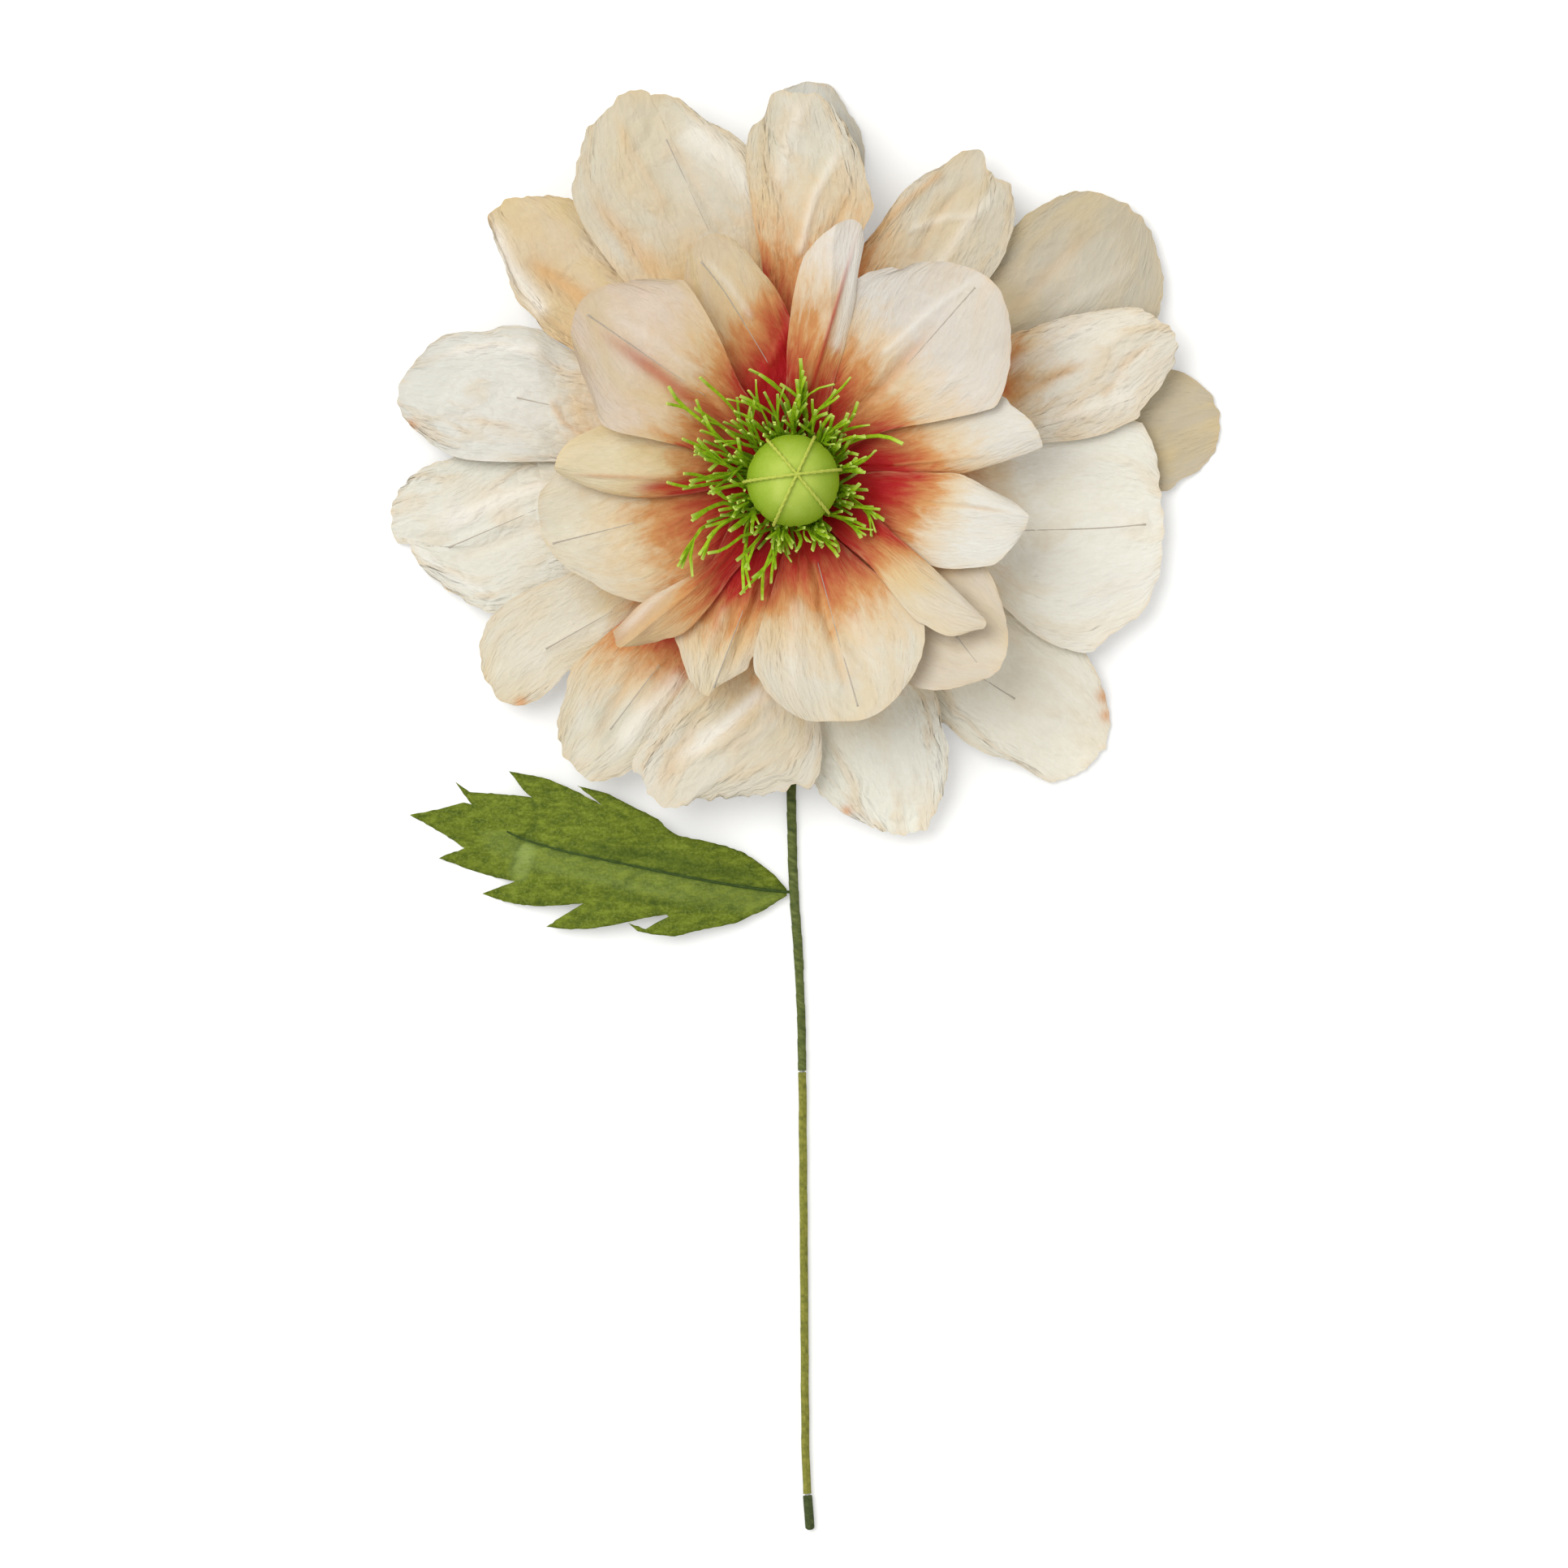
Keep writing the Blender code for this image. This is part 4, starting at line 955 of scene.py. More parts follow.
def wire_on(plan, height, wire):
    """The wire's line, lying just in the face of the creased paper."""
    flat = plan.reshape(-1, 2)
    tall = height.ravel()
    straight = np.linalg.norm(np.subtract(wire[0], wire[-1]))
    places = []
    for spot in smooth_line(wire, max(int(straight / WIRE_STEP), 4)):
        gap = np.linalg.norm(flat - spot, axis=1)
        near = np.argpartition(gap, NEAREST)[:NEAREST]
        weight = 1 / (gap[near] + 0.05)
        places.append((*spot, (tall[near] * weight).sum() / weight.sum() + SHEET))
    places = np.array(places)
    places[1:-1, 2] = (places[:-2, 2] + 2 * places[1:-1, 2] + places[2:, 2]) / 4
    return places * MM + AXIS


def wire_finish():
    """Grey wire in thin paper, darker in places."""
    wire = Finish("petal wire", roughness=0.6)
    tone = wire.cloud(wire.math('MULTIPLY', wire.stored("wire_run"), 60.0), 2.0, 3)
    return wire.made(wire.ramp(tone, (0.3, (164, 156, 144)), (0.7, (206, 196, 180))))


wire_parts = []
wire_runs = []
for plan, height, wire in petal_surfaces.values():
    if wire:
        line = wire_on(plan, height, wire)
        thick = WIRE_SHOWS * MM * np.concatenate([[1.5, 1.3], np.linspace(1, 0.55, len(line) - 2)])
        wire_parts.append(sweep(line, lambda k: circle(thick[k], WIRE_SIDES)))
        wire_runs.append(np.repeat(np.linspace(0, 1, len(line)) + len(wire_runs), WIRE_SIDES))
petal_wires = new_piece("petal_wires", *gather(wire_parts), wire_finish())
store(petal_wires, "wire_run", np.concatenate(wire_runs))
settle(petal_wires, "wire")
print("petal wires:", len(wire_parts))

# %% [markdown]
# ## The pod
#
# The pod is a ball of paper pulp with a skin of green crepe paper pulled down tight over it. From above it
# is pale yellow-green, with painted shade darkening it round its sides, and it has small folds where the
# skin gathers towards the neck. A turned grid is pushed in along those folds. An icosphere has no such
# lines to push on.

# %% Pod
POD_ROWS = 90
POD_SIDES = 180
POD_DENT = 0.8
SIDE_FOLDS = 46
TOP_FOLDS = 14


def pod_finish():
    """Smooth green crepe, with faint fibres, and painted shade darkening it round its sides and underneath.
    """
    pod = Finish("pod crepe", roughness=0.6, specular=0.1)
    place = pod.stored("pod_map", "Vector")
    mottle = pod.cloud(place, 2.2, 4)
    fibre = pod.cloud(pod.stretch(place, (12, 12, 3)), 3.0, 4)
    body = pod.ramp(mottle, (0.3, (172, 194, 76)), (0.55, (184, 204, 86)), (0.75, (196, 212, 104)))
    # Painted shade: a deeper green round the ball's sides and all over its underside.
    body = pod.blend(pod.fit(pod.stored("pod_side_shade"), 0.4, 0.95, 0, 0.85), body, dye(128, 166, 2))
    body = pod.blend(pod.fit(fibre, 0.5, 0.75, 0, 0.2), body, dye(210, 224, 128))
    return pod.made(body, pod.relief(fibre, 0.3, 0.25))


def pod_dent(tall, wide):
    """How far the folds press in, at angles down from the top (tall) and round (wide)."""
    rng = np.random.default_rng(41)

    def apart(place):
        return (wide - place + math.pi) % math.tau - math.pi
    dent = np.zeros(tall.shape)
    for _ in range(SIDE_FOLDS):
        start = rng.uniform(0.9, 1.5)
        gap = apart(rng.uniform(0, math.tau))
        dent += rng.uniform(0.1, 0.55) * tent(gap / rng.uniform(0.03, 0.09)) * ease((tall - start) / 0.5)
    for _ in range(TOP_FOLDS):
        spot, lean = rng.uniform(0.5, 1.2), rng.uniform(-1, 1)
        gap = apart(rng.uniform(-1.2, 1.6))
        dent += 0.16 * tent((gap - lean * (tall - spot)) / 0.05) * tent((tall - spot) / 0.35)
    return dent * POD_DENT


def make_pod():
    """The skinned ball in the place of its solid."""
    down = np.linspace(0, math.pi, POD_ROWS + 1)[1:-1]
    turn = np.arange(POD_SIDES) * math.tau / POD_SIDES
    tall, wide = np.meshgrid(down, turn, indexing="ij")
    r = POD_R - pod_dent(tall, wide) * MM
    body = np.dstack([r * np.sin(tall) * np.cos(wide), r * np.sin(tall) * np.sin(wide), r * np.cos(tall)])
    verts = np.vstack([body.reshape(-1, 3), [[0, 0, POD_R], [0, 0, -POD_R]]])
    faces = [[a, d, c, b] for a, b, c, d in band_faces(len(down), POD_SIDES)]
    last = (len(down) - 1) * POD_SIDES
    for j in range(POD_SIDES):
        n = (j + 1) % POD_SIDES
        faces += [[len(verts) - 2, j, n], [len(verts) - 1, last + n, last + j]]
    piece = new_piece("pod_crepe", verts + AXIS + [0, 0, POD_TOP - POD_R], faces, pod_finish())
    store(piece, "pod_map", verts / POD_R)
    outward = np.linalg.norm(verts[:, :2], axis=1) / POD_R
    # How far round the ball's side each point is, full underneath, for the painted shade.
    store(piece, "pod_side_shade", np.where(verts[:, 2] > 0, outward, 1))
    settle(piece, "pod", "pod_ball")


make_pod()
print("pod radius:", round(POD_R / MM, 2), "mm")

# %% [markdown]
# ## The cords over the pod
#
# Three cords of twisted paper are glued over the ball and cross a little off its top. Their two strands
# show as slanting grooves. So the section is a rounded two-lobed shape that turns as it goes.

# %% Pod cords
CORD_R = 0.85
CORD_TURNS = (130, 65, 187)
CORD_CROSSING = np.array([1.8, 2.5, 0.0])
CORD_LAY = 0.25
CORD_REACH = math.radians(84)
CORD_POINTS = 110
CORD_SIDES = 14
CORD_GAP = 0.2
STRAND_TURN = 0.42 / 2.6 * math.pi


def cord_finish():
    """Yellow-green twisted paper."""
    cord = Finish("pod cord paper", roughness=0.75)
    place = cord.stored("cord_map", "Vector")
    body = cord.ramp(cord.cloud(place, 1.6), (0.3, (172, 184, 66)), (0.55, (192, 204, 84)),
                     (0.75, (208, 218, 108)))
    return cord.made(body, cord.relief(cord.cloud(place, 6.0, 3), 0.2, 0.4))


def pod_cord_line(turn, order):
    """The middle of one cord, over the ball and through the crossing."""
    reach = POD_R / MM + CORD_GAP + CORD_R + order * CORD_LAY
    out = np.array([math.cos(math.radians(turn)), math.sin(math.radians(turn)), 0])
    offset = CORD_CROSSING - out * (CORD_CROSSING @ out)
    radius = math.sqrt(reach ** 2 - offset @ offset)
    angle = np.linspace(-CORD_REACH, CORD_REACH, CORD_POINTS)[:, None]
    line = offset + out * radius * np.sin(angle) + np.array([0, 0, 1]) * radius * np.cos(angle)
    return line * MM + AXIS + [0, 0, POD_TOP - POD_R]


def cord_section(k):
    """Two strands side by side, turned a little further at each point."""
    turn = np.arange(CORD_SIDES) * math.tau / CORD_SIDES
    size = CORD_R * MM * (0.82 + 0.18 * np.cos(2 * (turn - k * STRAND_TURN)))
    size = size * (1 + 0.06 * math.sin(k * 0.9))
    return size * np.cos(turn), size * np.sin(turn)


cord_verts, cord_faces = gather([sweep(pod_cord_line(turn, order), cord_section)
                                 for order, turn in enumerate(CORD_TURNS)])
pod_strands = new_piece("pod_cord_strands", cord_verts, cord_faces, cord_finish())
store(pod_strands, "cord_map", (cord_verts - AXIS) / MM)
settle(pod_strands, "pod_cord", "pod_cords")
print("cords over the pod:", len(CORD_TURNS))

# %% [markdown]
# ## The stamens
#
# Twelve sprigs of cut green paper stand round the pod. Each is a bunch of narrow strips, twisted between
# the fingers, with side twigs cut at a slant and blunt ends that show the paler paper inside. They are
# grown strip by strip here. Hair particles would be quicker, but would not be closed, solid pieces.

# %% Stamen strips
STRIP_WIDTH = 1.6
STRIP_THICK = 0.8
STRIP_ROOT_Z = 34.9
STRIP_STATIONS = (0, 0.28, 0.6, 1)
STRIP_RISE = (0, 1, 13, 27)
STRIP_POINTS = 11
TWIG_POINTS = 5
BESIDE_POD = 23.6
POD_LEVEL = 42


def strip(points, width, turn, twist):
    """A flat strip along the points that turns about itself as it goes."""
    def section(k):
        angle = turn + twist * k
        a = np.array([1, -1, -1, 1]) * width * MM / 2
        b = np.array([1, 1, -1, -1]) * STRIP_THICK * MM / 2
        return a * math.cos(angle) - b * math.sin(angle), a * math.sin(angle) + b * math.cos(angle)
    return sweep(points * MM, section)


def strip_line(rng, turn, reach, root_turn):
    """One strip's middle, out from the neck under the pod and then up round it."""
    t = np.linspace(0, 1, STRIP_POINTS)
    sway = rng.normal(0, 0.2) * t ** 2 + rng.normal(0, 0.03) * np.sin(t * 9 + rng.uniform(0, 6)) * t
    angle = np.radians(root_turn + (turn - root_turn) * ease(t * 1.6)) + sway
    r = NECK_R + 0.5 + (reach - NECK_R) * t ** 0.92
    rise = np.interp(t, STRIP_STATIONS, STRIP_RISE) * rng.uniform(0.55, 1.08)
    z = STRIP_ROOT_Z + rise + 0.3 * np.sin(t * 12 + rng.uniform(0, 6)) * t
    r = np.where(z > POD_LEVEL, np.maximum(r, BESIDE_POD), r)
    return np.column_stack([r * np.cos(angle), r * np.sin(angle), z])


def twig_line(rng, base, ahead, length, hand):
    """A side twig that leaves its strip at a slant, to its left or right hand."""
    lean = hand * rng.uniform(0.08, 0.34) + rng.normal(0, 0.1)
    side = np.cross([0, 0, 1], ahead)
    side /= np.linalg.norm(side)
    way = ahead * math.cos(lean) + side * math.sin(lean) + np.array([0, 0, rng.uniform(-0.1, 0.4)])
    way /= np.linalg.norm(way)
    bend = side * rng.uniform(-0.15, 0.15)
    t = np.linspace(0, 1, TWIG_POINTS)[:, None]
    return base + (way * t + bend * t ** 2) * length


def stamen_finish():
    """Bright green paper, with painted shade darkening it towards the root where the strips are dense, and
    pale at the cut ends.
    """
    green = Finish("stamen paper", roughness=0.7)
    place = green.stored("strip_map", "Vector")
    body = green.ramp(green.cloud(place, 0.35), (0.28, (124, 164, 6)), (0.5, (152, 191, 15)),
                      (0.72, (180, 211, 40)))
    # Painted shade: the strips darken towards the sprig's root, deep among the others.
    body = green.blend(green.fit(green.stored("run"), 0.2, 0.6, 0.7, 0), body, dye(60, 104, 10))
    body = green.blend(green.stored("cut_end"), body, dye(206, 228, 110))
    return green.made(body, green.relief(green.cloud(place, 2.5, 3), 0.2, 0.4))


STAMEN_PAPER = stamen_finish()
print("finish made:", STAMEN_PAPER.name)

# %% Sprigs of stamens
TUFTS = [(0, 37, 46), (30, 38, 55), (60, 42, 58), (89, 44, 57), (118, 45, 58), (145, 49, 66),
         (172, 50, 74), (201, 52, 66), (232, 46, 50), (266, 38, 53), (300, 37, 42), (331, 35, 40)]
STRIPS_IN_TUFT = 9
LONG_STRIPS = 6
CUT_PALE = 0.8
TWIG_WIDTH = 0.85


def marked(part, share):
    """A strip's mesh, its share along the sprig at each corner, and its pale cut end."""
    return part, np.repeat(share, 4), np.repeat([0.0] * (len(share) - 1) + [CUT_PALE], 4)


def tuft_strip(rng, turn, reach, far, short):
    """One strip with its twigs, each with its marks."""
    fan = turn + rng.uniform(-16, 16) + rng.choice([0, 0, 0, -26, 24])
    end = far if far else reach * rng.uniform(0.72, 1.15)
    if short:
        end = rng.uniform(25, 33)
    line = strip_line(rng, fan, end, turn + rng.uniform(-8, 8))
    width = STRIP_WIDTH * rng.uniform(0.85, 1.15)
    grown = [marked(strip(line, width, rng.uniform(0, 3), rng.normal(0, 0.25)),
                    np.linspace(0, 1, STRIP_POINTS))]
    for side in range(rng.integers(1, 3) if short else rng.integers(1, 5)):
        at = int(np.clip(rng.normal(6.0, 1.8), 3, 9))
        ahead = line[at] - line[at - 1]
        ahead /= np.linalg.norm(ahead)
        hand = (1 - 2 * (side % 2)) * (1.6 if short else 1)
        twig = twig_line(rng, line[at], ahead, rng.uniform(6, 11) if short else rng.uniform(10, 19), hand)
        grown.append(marked(strip(twig, width * TWIG_WIDTH, rng.uniform(0, 3), 0.2),
                            np.full(TWIG_POINTS, at / 10)))
    return grown


def make_tuft(number, turn, reach, long_reach):
    """One sprig of strips in the place of its solid."""
    rng = np.random.default_rng(700 + number)
    grown = []
    for k in range(STRIPS_IN_TUFT):
        grown += tuft_strip(rng, turn, reach, 0 if k else long_reach, k >= LONG_STRIPS)
    parts, shares, ends = zip(*grown)
    verts, faces = gather(parts)
    piece = new_piece(f"stamen_tuft_{number:02d}", verts + AXIS, faces, STAMEN_PAPER, smooth=False)
    store(piece, "strip_map", verts / MM)
    # How far along the sprig each corner is; the finish paints shade near the root from it.
    store(piece, "run", np.concatenate(shares))
    store(piece, "cut_end", np.concatenate(ends))
    settle(piece, "stamen_paper", f"stamen_sprig_{number:02d}")
    return len(parts)


print("stamen strips and twigs:", sum(make_tuft(number, *row) for number, row in enumerate(TUFTS, 1)))

# %% [markdown]
# ## The stem
#
# A long wire is wrapped in paper tape. The upper part has grey-green tape wound at a slant, the lower part
# an olive paper, and a dark cup of paper covers the end. Each turn of tape overlaps the last one, so the
# section steps in and out once a turn, and the step climbs along the stem like a screw thread.

# %% Stem line
STEM_R = 2.4
LOWER_R = 2.0
STEM_Z = 2.4
BEND_R = 12.0
BEND_POINTS = 14
NECK_FOOT = 15.0
NECK_TOP = 37.2
TAPE_CHANGE_Y = -284.0
THIN_FROM_Y = -235
COVER_Y = -488.0
STEM_STEP = 0.9
STEM_ROUTE = [(0, -40), (-0.7, -147), (0.5, -197), (2.2, -220), (4.2, -265), (5, -335), (5.5, -395),
              (6.2, -470), (8.3, -505)]


def stem_line():
    """The stem's middle from the neck round its bend and out to its end."""
    turn = np.linspace(0, math.pi / 2, BEND_POINTS)
    bend = np.column_stack([turn * 0, BEND_R * (np.cos(turn) - 1), STEM_Z + BEND_R * (1 - np.sin(turn))])
    flat = smooth_line(STEM_ROUTE, 60)
    lying = np.column_stack([flat, np.full(len(flat), STEM_Z)])
    return smooth_line(np.vstack([[(0, 0, NECK_FOOT)], bend, lying]), 620)


STEM_LINE = stem_line()
print("stem length from the neck:", round(line_run(STEM_LINE)[-1]), "mm")

# %% Tape and paper on the stem
STEM_SIDES = 24
WINDINGS = {"upper": (11.0, 0.22), "lower": (26.0, 0.12), "neck": (4.5, 0.4)}
THINNER = 0.25
LUMPS = 0.06


def stem_finish(name, light, body, dark):
    """Crinkled paper tape, its tone changing along each turn of the winding."""
    tape = Finish(name, roughness=0.8)
    place = tape.stored("winding", "Vector")
    tone = tape.cloud(tape.stretch(place, (0.35, 1.0, 1)), 1.0, 5, 0.6)
    lines = tape.cloud(tape.stretch(place, (0.15, 7, 1)), 1.0, 3)
    shades = tape.ramp(tone, (0.28, dark), (0.5, body), (0.74, light))
    return tape.made(tape.blend(tape.fit(lines, 0.45, 0.7, 0, 0.4), shades, dye(*dark)),
                     tape.relief(lines, 0.35, 0.6))


def keep_winding(piece, along, turns, sides):
    """Keep where each point of a tube is: along it, and round it by the winding."""
    around = np.tile(np.arange(sides) / sides, len(along)) * 3
    store(piece, "winding", np.column_stack([np.repeat(along, sides),
                                             around + np.repeat(turns, sides) * 3, around * 0]))


def make_winding(name, node, line, radius, slot, material, kind):
    """Tape wound along part of the stem."""
    pitch, lap = WINDINGS[kind]
    run = line_run(line)
    turn = np.arange(STEM_SIDES) * math.tau / STEM_SIDES

    def section(k):
        phase = (turn / math.tau + run[k] / pitch) % 1
        size = (radius(line[k]) - lap * phase - LUMPS * np.sin(3 * turn + run[k] * 0.21)) * MM
        return size * np.cos(turn), size * np.sin(turn)
    piece = new_piece(name, *sweep(line * MM + AXIS, section), material)
    piece.data.set_sharp_from_angle(angle=math.radians(60))
    keep_winding(piece, run, run / pitch, STEM_SIDES)
    settle(piece, slot, node)
    print(name, round(run[-1]), "mm")


def upper_radius(point):
    """The taped stem gets a little thinner further down."""
    return STEM_R - THINNER * (point[1] < THIN_FROM_Y)


upper = STEM_LINE[STEM_LINE[:, 1] > TAPE_CHANGE_Y]
lower = STEM_LINE[(STEM_LINE[:, 1] <= TAPE_CHANGE_Y) & (STEM_LINE[:, 1] > COVER_Y)]
green_tape = stem_finish("stem tape", (125, 136, 76), (91, 102, 46), (57, 70, 32))
olive_paper = stem_finish("stem paper", (164, 160, 72), (134, 134, 52), (92, 96, 34))
make_winding("upper_stem_tape", "upper_stem_wrap", upper, upper_radius, "stem_tape", green_tape, "upper")
make_winding("lower_stem_paper", "lower_stem_wrap", lower, lambda point: LOWER_R, "stem_paper",
             olive_paper, "lower")

# %% Cover on the stem's end and the neck binding
COVER_R = 2.25
ROUND_FROM = 0.92
ROUND_OVER = 0.095


def make_cover():
    """The dark paper cup over the stem's end, rounded at its tip."""
    line = STEM_LINE[STEM_LINE[:, 1] <= COVER_Y]
    away = np.linspace(0, 1, len(line))
    size = COVER_R * np.sqrt(np.clip(1 - (np.clip(away - ROUND_FROM, 0, 1) / ROUND_OVER) ** 2, 0.12, 1))
    size = size * (1 - 0.06 * (away < 0.04)) * MM
    material = stem_finish("stem cover", (92, 104, 56), (66, 78, 38), (46, 56, 28))
    piece = new_piece("stem_end_cup", *sweep(line * MM + AXIS, lambda k: circle(size[k], STEM_SIDES)),
                      material)
    keep_winding(piece, np.arange(len(line)) * STEM_STEP, np.zeros(len(line)), STEM_SIDES)
    settle(piece, "stem_cover", "stem_end_cover")


def neck_radius(point):
    """The binding is thick round the petals' roots and thin at its foot."""
    return STEM_R + (NECK_R - STEM_R) * ease((point[2] - NECK_FOOT) / 2.0)


make_cover()
neck_z = np.linspace(NECK_FOOT, NECK_TOP, 90)
make_winding("neck_tape", "neck_binding", np.column_stack([neck_z * 0, neck_z * 0, neck_z]), neck_radius,
             "stem_tape", green_tape, "neck")
print("stem end cup and neck tape made")

# %% [markdown]
# ## The stem's wire
#
# The wire itself hardly shows, inside its wraps. Its solid has the right shape, so it stays as it is and
# only gets a finish: dull steel with a brushed grain.

# %% Stem wire finish
def steel():
    """Dull drawn steel."""
    wire = Finish("stem steel", roughness=0.4, specular=0.5)
    place = wire.node("TexCoord", {}, "Object")
    scratches = wire.cloud(wire.stretch(place, (900, 60, 900)), 1.0, 3)
    wire.surface.inputs["Metallic"].default_value = 1.0
    return wire.made(wire.ramp(scratches, (0.3, (120, 120, 116)), (0.7, (164, 164, 158))),
                     wire.relief(scratches, 0.05, 0.4))


stem_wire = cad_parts["stem_wire"]
stem_wire.data.materials.clear()
stem_wire.data.materials.append(steel())
print("stem wire kept")

# %% [markdown]
# ## The leaf
#
# The leaf is one sheet of green paper, cut ragged with scissors, with a wire glued along its middle. It
# bends up along the wire and falls to each side, and one corner is folded over and shows paler. Its
# outline is too jagged for a petal's grid, so the outline is filled with small triangles that keep clear
# of its edge, and those are lifted and creased.

# %% Leaf outline
LEAF_EDGE = np.array(course("""
-3,-196 -8,-190 -14,-185 -20,-180.5 -25,-177.5 -34,-174.6 -43,-172.4 -55,-170 -60,-167 -65,-162 -73,-158
-81,-154 -88.5,-150 -96,-148 -104,-146 -98,-150.4 -92,-155.5 -101.5,-150 -109,-146.4 -117,-143 -125,-141
-137,-139 -130,-148 -126,-151.5 -133,-150.6 -151,-149.3 -156,-149 -163,-144 -159,-150 -155,-155 -159,-154
-170,-157 -185,-160 -177,-164.6 -169,-169 -158.5,-176 -167,-179 -171,-181 -157.5,-186 -148,-189 -141,-190.6
-134,-192 -142,-195 -150,-198 -143,-200.6 -134,-203 -122,-204 -112,-203.6 -101,-202.6 -110,-208 -119,-214
-109,-215 -99,-215 -86,-213 -73,-210 -61,-208 -60,-209 -66,-212 -71,-215 -79.5,-212 -75,-216 -68,-217.6
-57,-218.6 -47,-216 -36.5,-214 -27,-212 -21,-209 -14,-206 -8,-202 -3,-199
"""))
LEAF_WIRE = course("-2,-197.4 -18,-195.5 -34,-193 -50,-190 -65,-187 -82,-183.4 -96,-180.5 -112,-177 "
                   "-129,-172 -138,-168")
LEAF_MESH = 2.3
LEAF_EDGE_STEP = 1.8


def leaf_points():
    """Points along the leaf's edge, a little uneven, and points inside it, clear of the edge."""
    rng = np.random.default_rng(90)
    edge = []
    for start, end in zip(LEAF_EDGE, np.roll(LEAF_EDGE, -1, axis=0)):
        count = max(int(np.linalg.norm(end - start) / LEAF_EDGE_STEP), 1)
        for k in range(count):
            edge.append(start + (end - start) * k / count + (rng.normal(0, 0.12, 2) if k else 0))
    edge = np.array(edge)
    low, high = edge.min(0), edge.max(0)
    inner = []
    for i, y in enumerate(np.arange(low[1], high[1], LEAF_MESH * 0.87)):
        for x in np.arange(low[0] + (i % 2) * LEAF_MESH / 2, high[0], LEAF_MESH):
            inner.append((x, y) + rng.normal(0, 0.2, 2))
    inner = np.array(inner)
    gap, _ = line_distance(inner[None], np.vstack([edge, edge[:1]]))
    return edge, inner[gap[0] > LEAF_MESH * 0.55]


def leaf_plan():
    """Points and triangles of the leaf seen from above, in millimetres."""
    edge, inner = leaf_points()
    spots = [Vector(p) for p in np.vstack([edge, inner])]
    rim = [(k, (k + 1) % len(edge)) for k in range(len(edge))]
    flat, _, faces, _, _, _ = delaunay_2d_cdt(spots, rim, [list(range(len(edge)))], 1, 1e-4)
    used = sorted({i for face in faces for i in face})
    place = {old: new for new, old in enumerate(used)}
    return np.array([flat[i] for i in used]), [[place[i] for i in face] for face in faces]


leaf_flat, leaf_faces = leaf_plan()
print("leaf triangles:", len(leaf_faces))

# %% Leaf finish
def leaf_finish():
    """Green paper with mottled dye and fine fibres, darker along its wire and paler on its flap, with
    painted shade in its folds and painted highlights beside its wire.
    """
    leaf = Finish("leaf paper", roughness=0.75, specular=0.25)
    place = leaf.stored("leaf_map", "Vector")
    mottle = leaf.cloud(leaf.stretch(place, (0.13, 0.26, 1)), 1.0, 6, 0.7, 0.3)
    fibre = leaf.cloud(leaf.stretch(place, (0.22, 0.9, 1)), 1.0, 5, 0.7)
    speck = leaf.cloud(place, 0.7, 5, 0.7)
    # The paler flap, plus painted highlight on the near side and along one strip, broken up by the fibres.
    pale = leaf.math('MULTIPLY', leaf.stored("pale"), leaf.fit(fibre, 0.3, 0.55, 0.25, 1))
    body = leaf.ramp(mottle, (0.34, (70, 88, 8)), (0.5, (98, 114, 16)), (0.64, (126, 142, 38)))
    # Speck and fibre blends are the paper's own tone; the pale mask is the paler flap plus painted
    # highlight, and the dark line is darker along the wire plus painted shade.
    for share, over in ((leaf.fit(speck, 0.48, 0.60, 0, 0.45), (142, 156, 66)),
                        (leaf.fit(fibre, 0.48, 0.66, 0, 0.4), (72, 90, 14)), (pale, (150, 168, 88)),
                        (leaf.stored("dark_line_and_shade"), (48, 72, 16))):
        body = leaf.blend(share, body, dye(*over))
    return leaf.made(body, leaf.relief(fibre, 0.7, 0.6, leaf.relief(mottle, 1.4, 0.5)))


LEAF_PAPER = leaf_finish()
print("finish made:", LEAF_PAPER.name)

# %% Leaf shape
LEAF_ARCH = 11.0
LEAF_FALL = 0.12
LEAF_LENGTH = 150.0
LEAF_ROOT_X = -2
LEAF_OFF_TABLE = 0.1
LEAF_CREASES = 60
LEAF_GRAIN = 0.16
LEAF_RIDGES = [
    ("-126,-151.5 -124,-158 -124,-166 -130,-170", -1.2, 2.4),
    ("-130,-170 -134,-180 -136,-188", -1.2, 2.4),
    ("-137,-139 -127,-152 -120,-164", 1, 3),
    ("-104,-146 -92,-160 -84,-172", 0.8, 4),
    ("-20,-180.5 -28,-184 -36,-186", 0.7, 2),
    ("-30,-176 -38,-180 -46,-183", 0.7, 2),
    ("-100,-181 -116,-192 -128,-202", 0.8, 3.5),
    ("-72,-186 -90,-200 -104,-213", -0.8, 3.5),
    ("-60,-168 -72,-176 -84,-182", -0.8, 3.5),
    ("-20,-199 -55,-197 -88,-190", 1.2, 4),
    ("-30,-204 -64,-203 -92,-198", -1, 4),
    ("-26,-188 -52,-183 -80,-176", -1, 4)
]


def leaf_height(plan, beside):
    """Height of the leaf: arched along its wire, falling to its sides, and creased."""
    rng = np.random.default_rng(17)
    arch = LEAF_ARCH * np.sin(math.pi * np.clip((LEAF_ROOT_X - plan[..., 0]) / LEAF_LENGTH, 0, 1))
    height = np.maximum(STEM_Z - 0.2 + arch - LEAF_FALL * beside, LEAF_OFF_TABLE)
    height += swell(plan, rng, 5, 45, 0.6) + 0.4
    for _ in range(LEAF_CREASES):
        centre = leaf_flat[rng.integers(len(leaf_flat))]
        turn = LEAF_GRAIN + rng.normal(0, 0.5)
        reach = rng.uniform(6, 22)
        crease = one_crease(plan - centre, turn, reach, rng.uniform(0.12, 0.35))
        height += 0.6 * rng.uniform(-1, 1) * crease
    for line, lift, width in LEAF_RIDGES:
        height += lift * tent(line_distance(plan, course(line))[0] / width)
    return np.maximum(height, LEAF_OFF_TABLE)


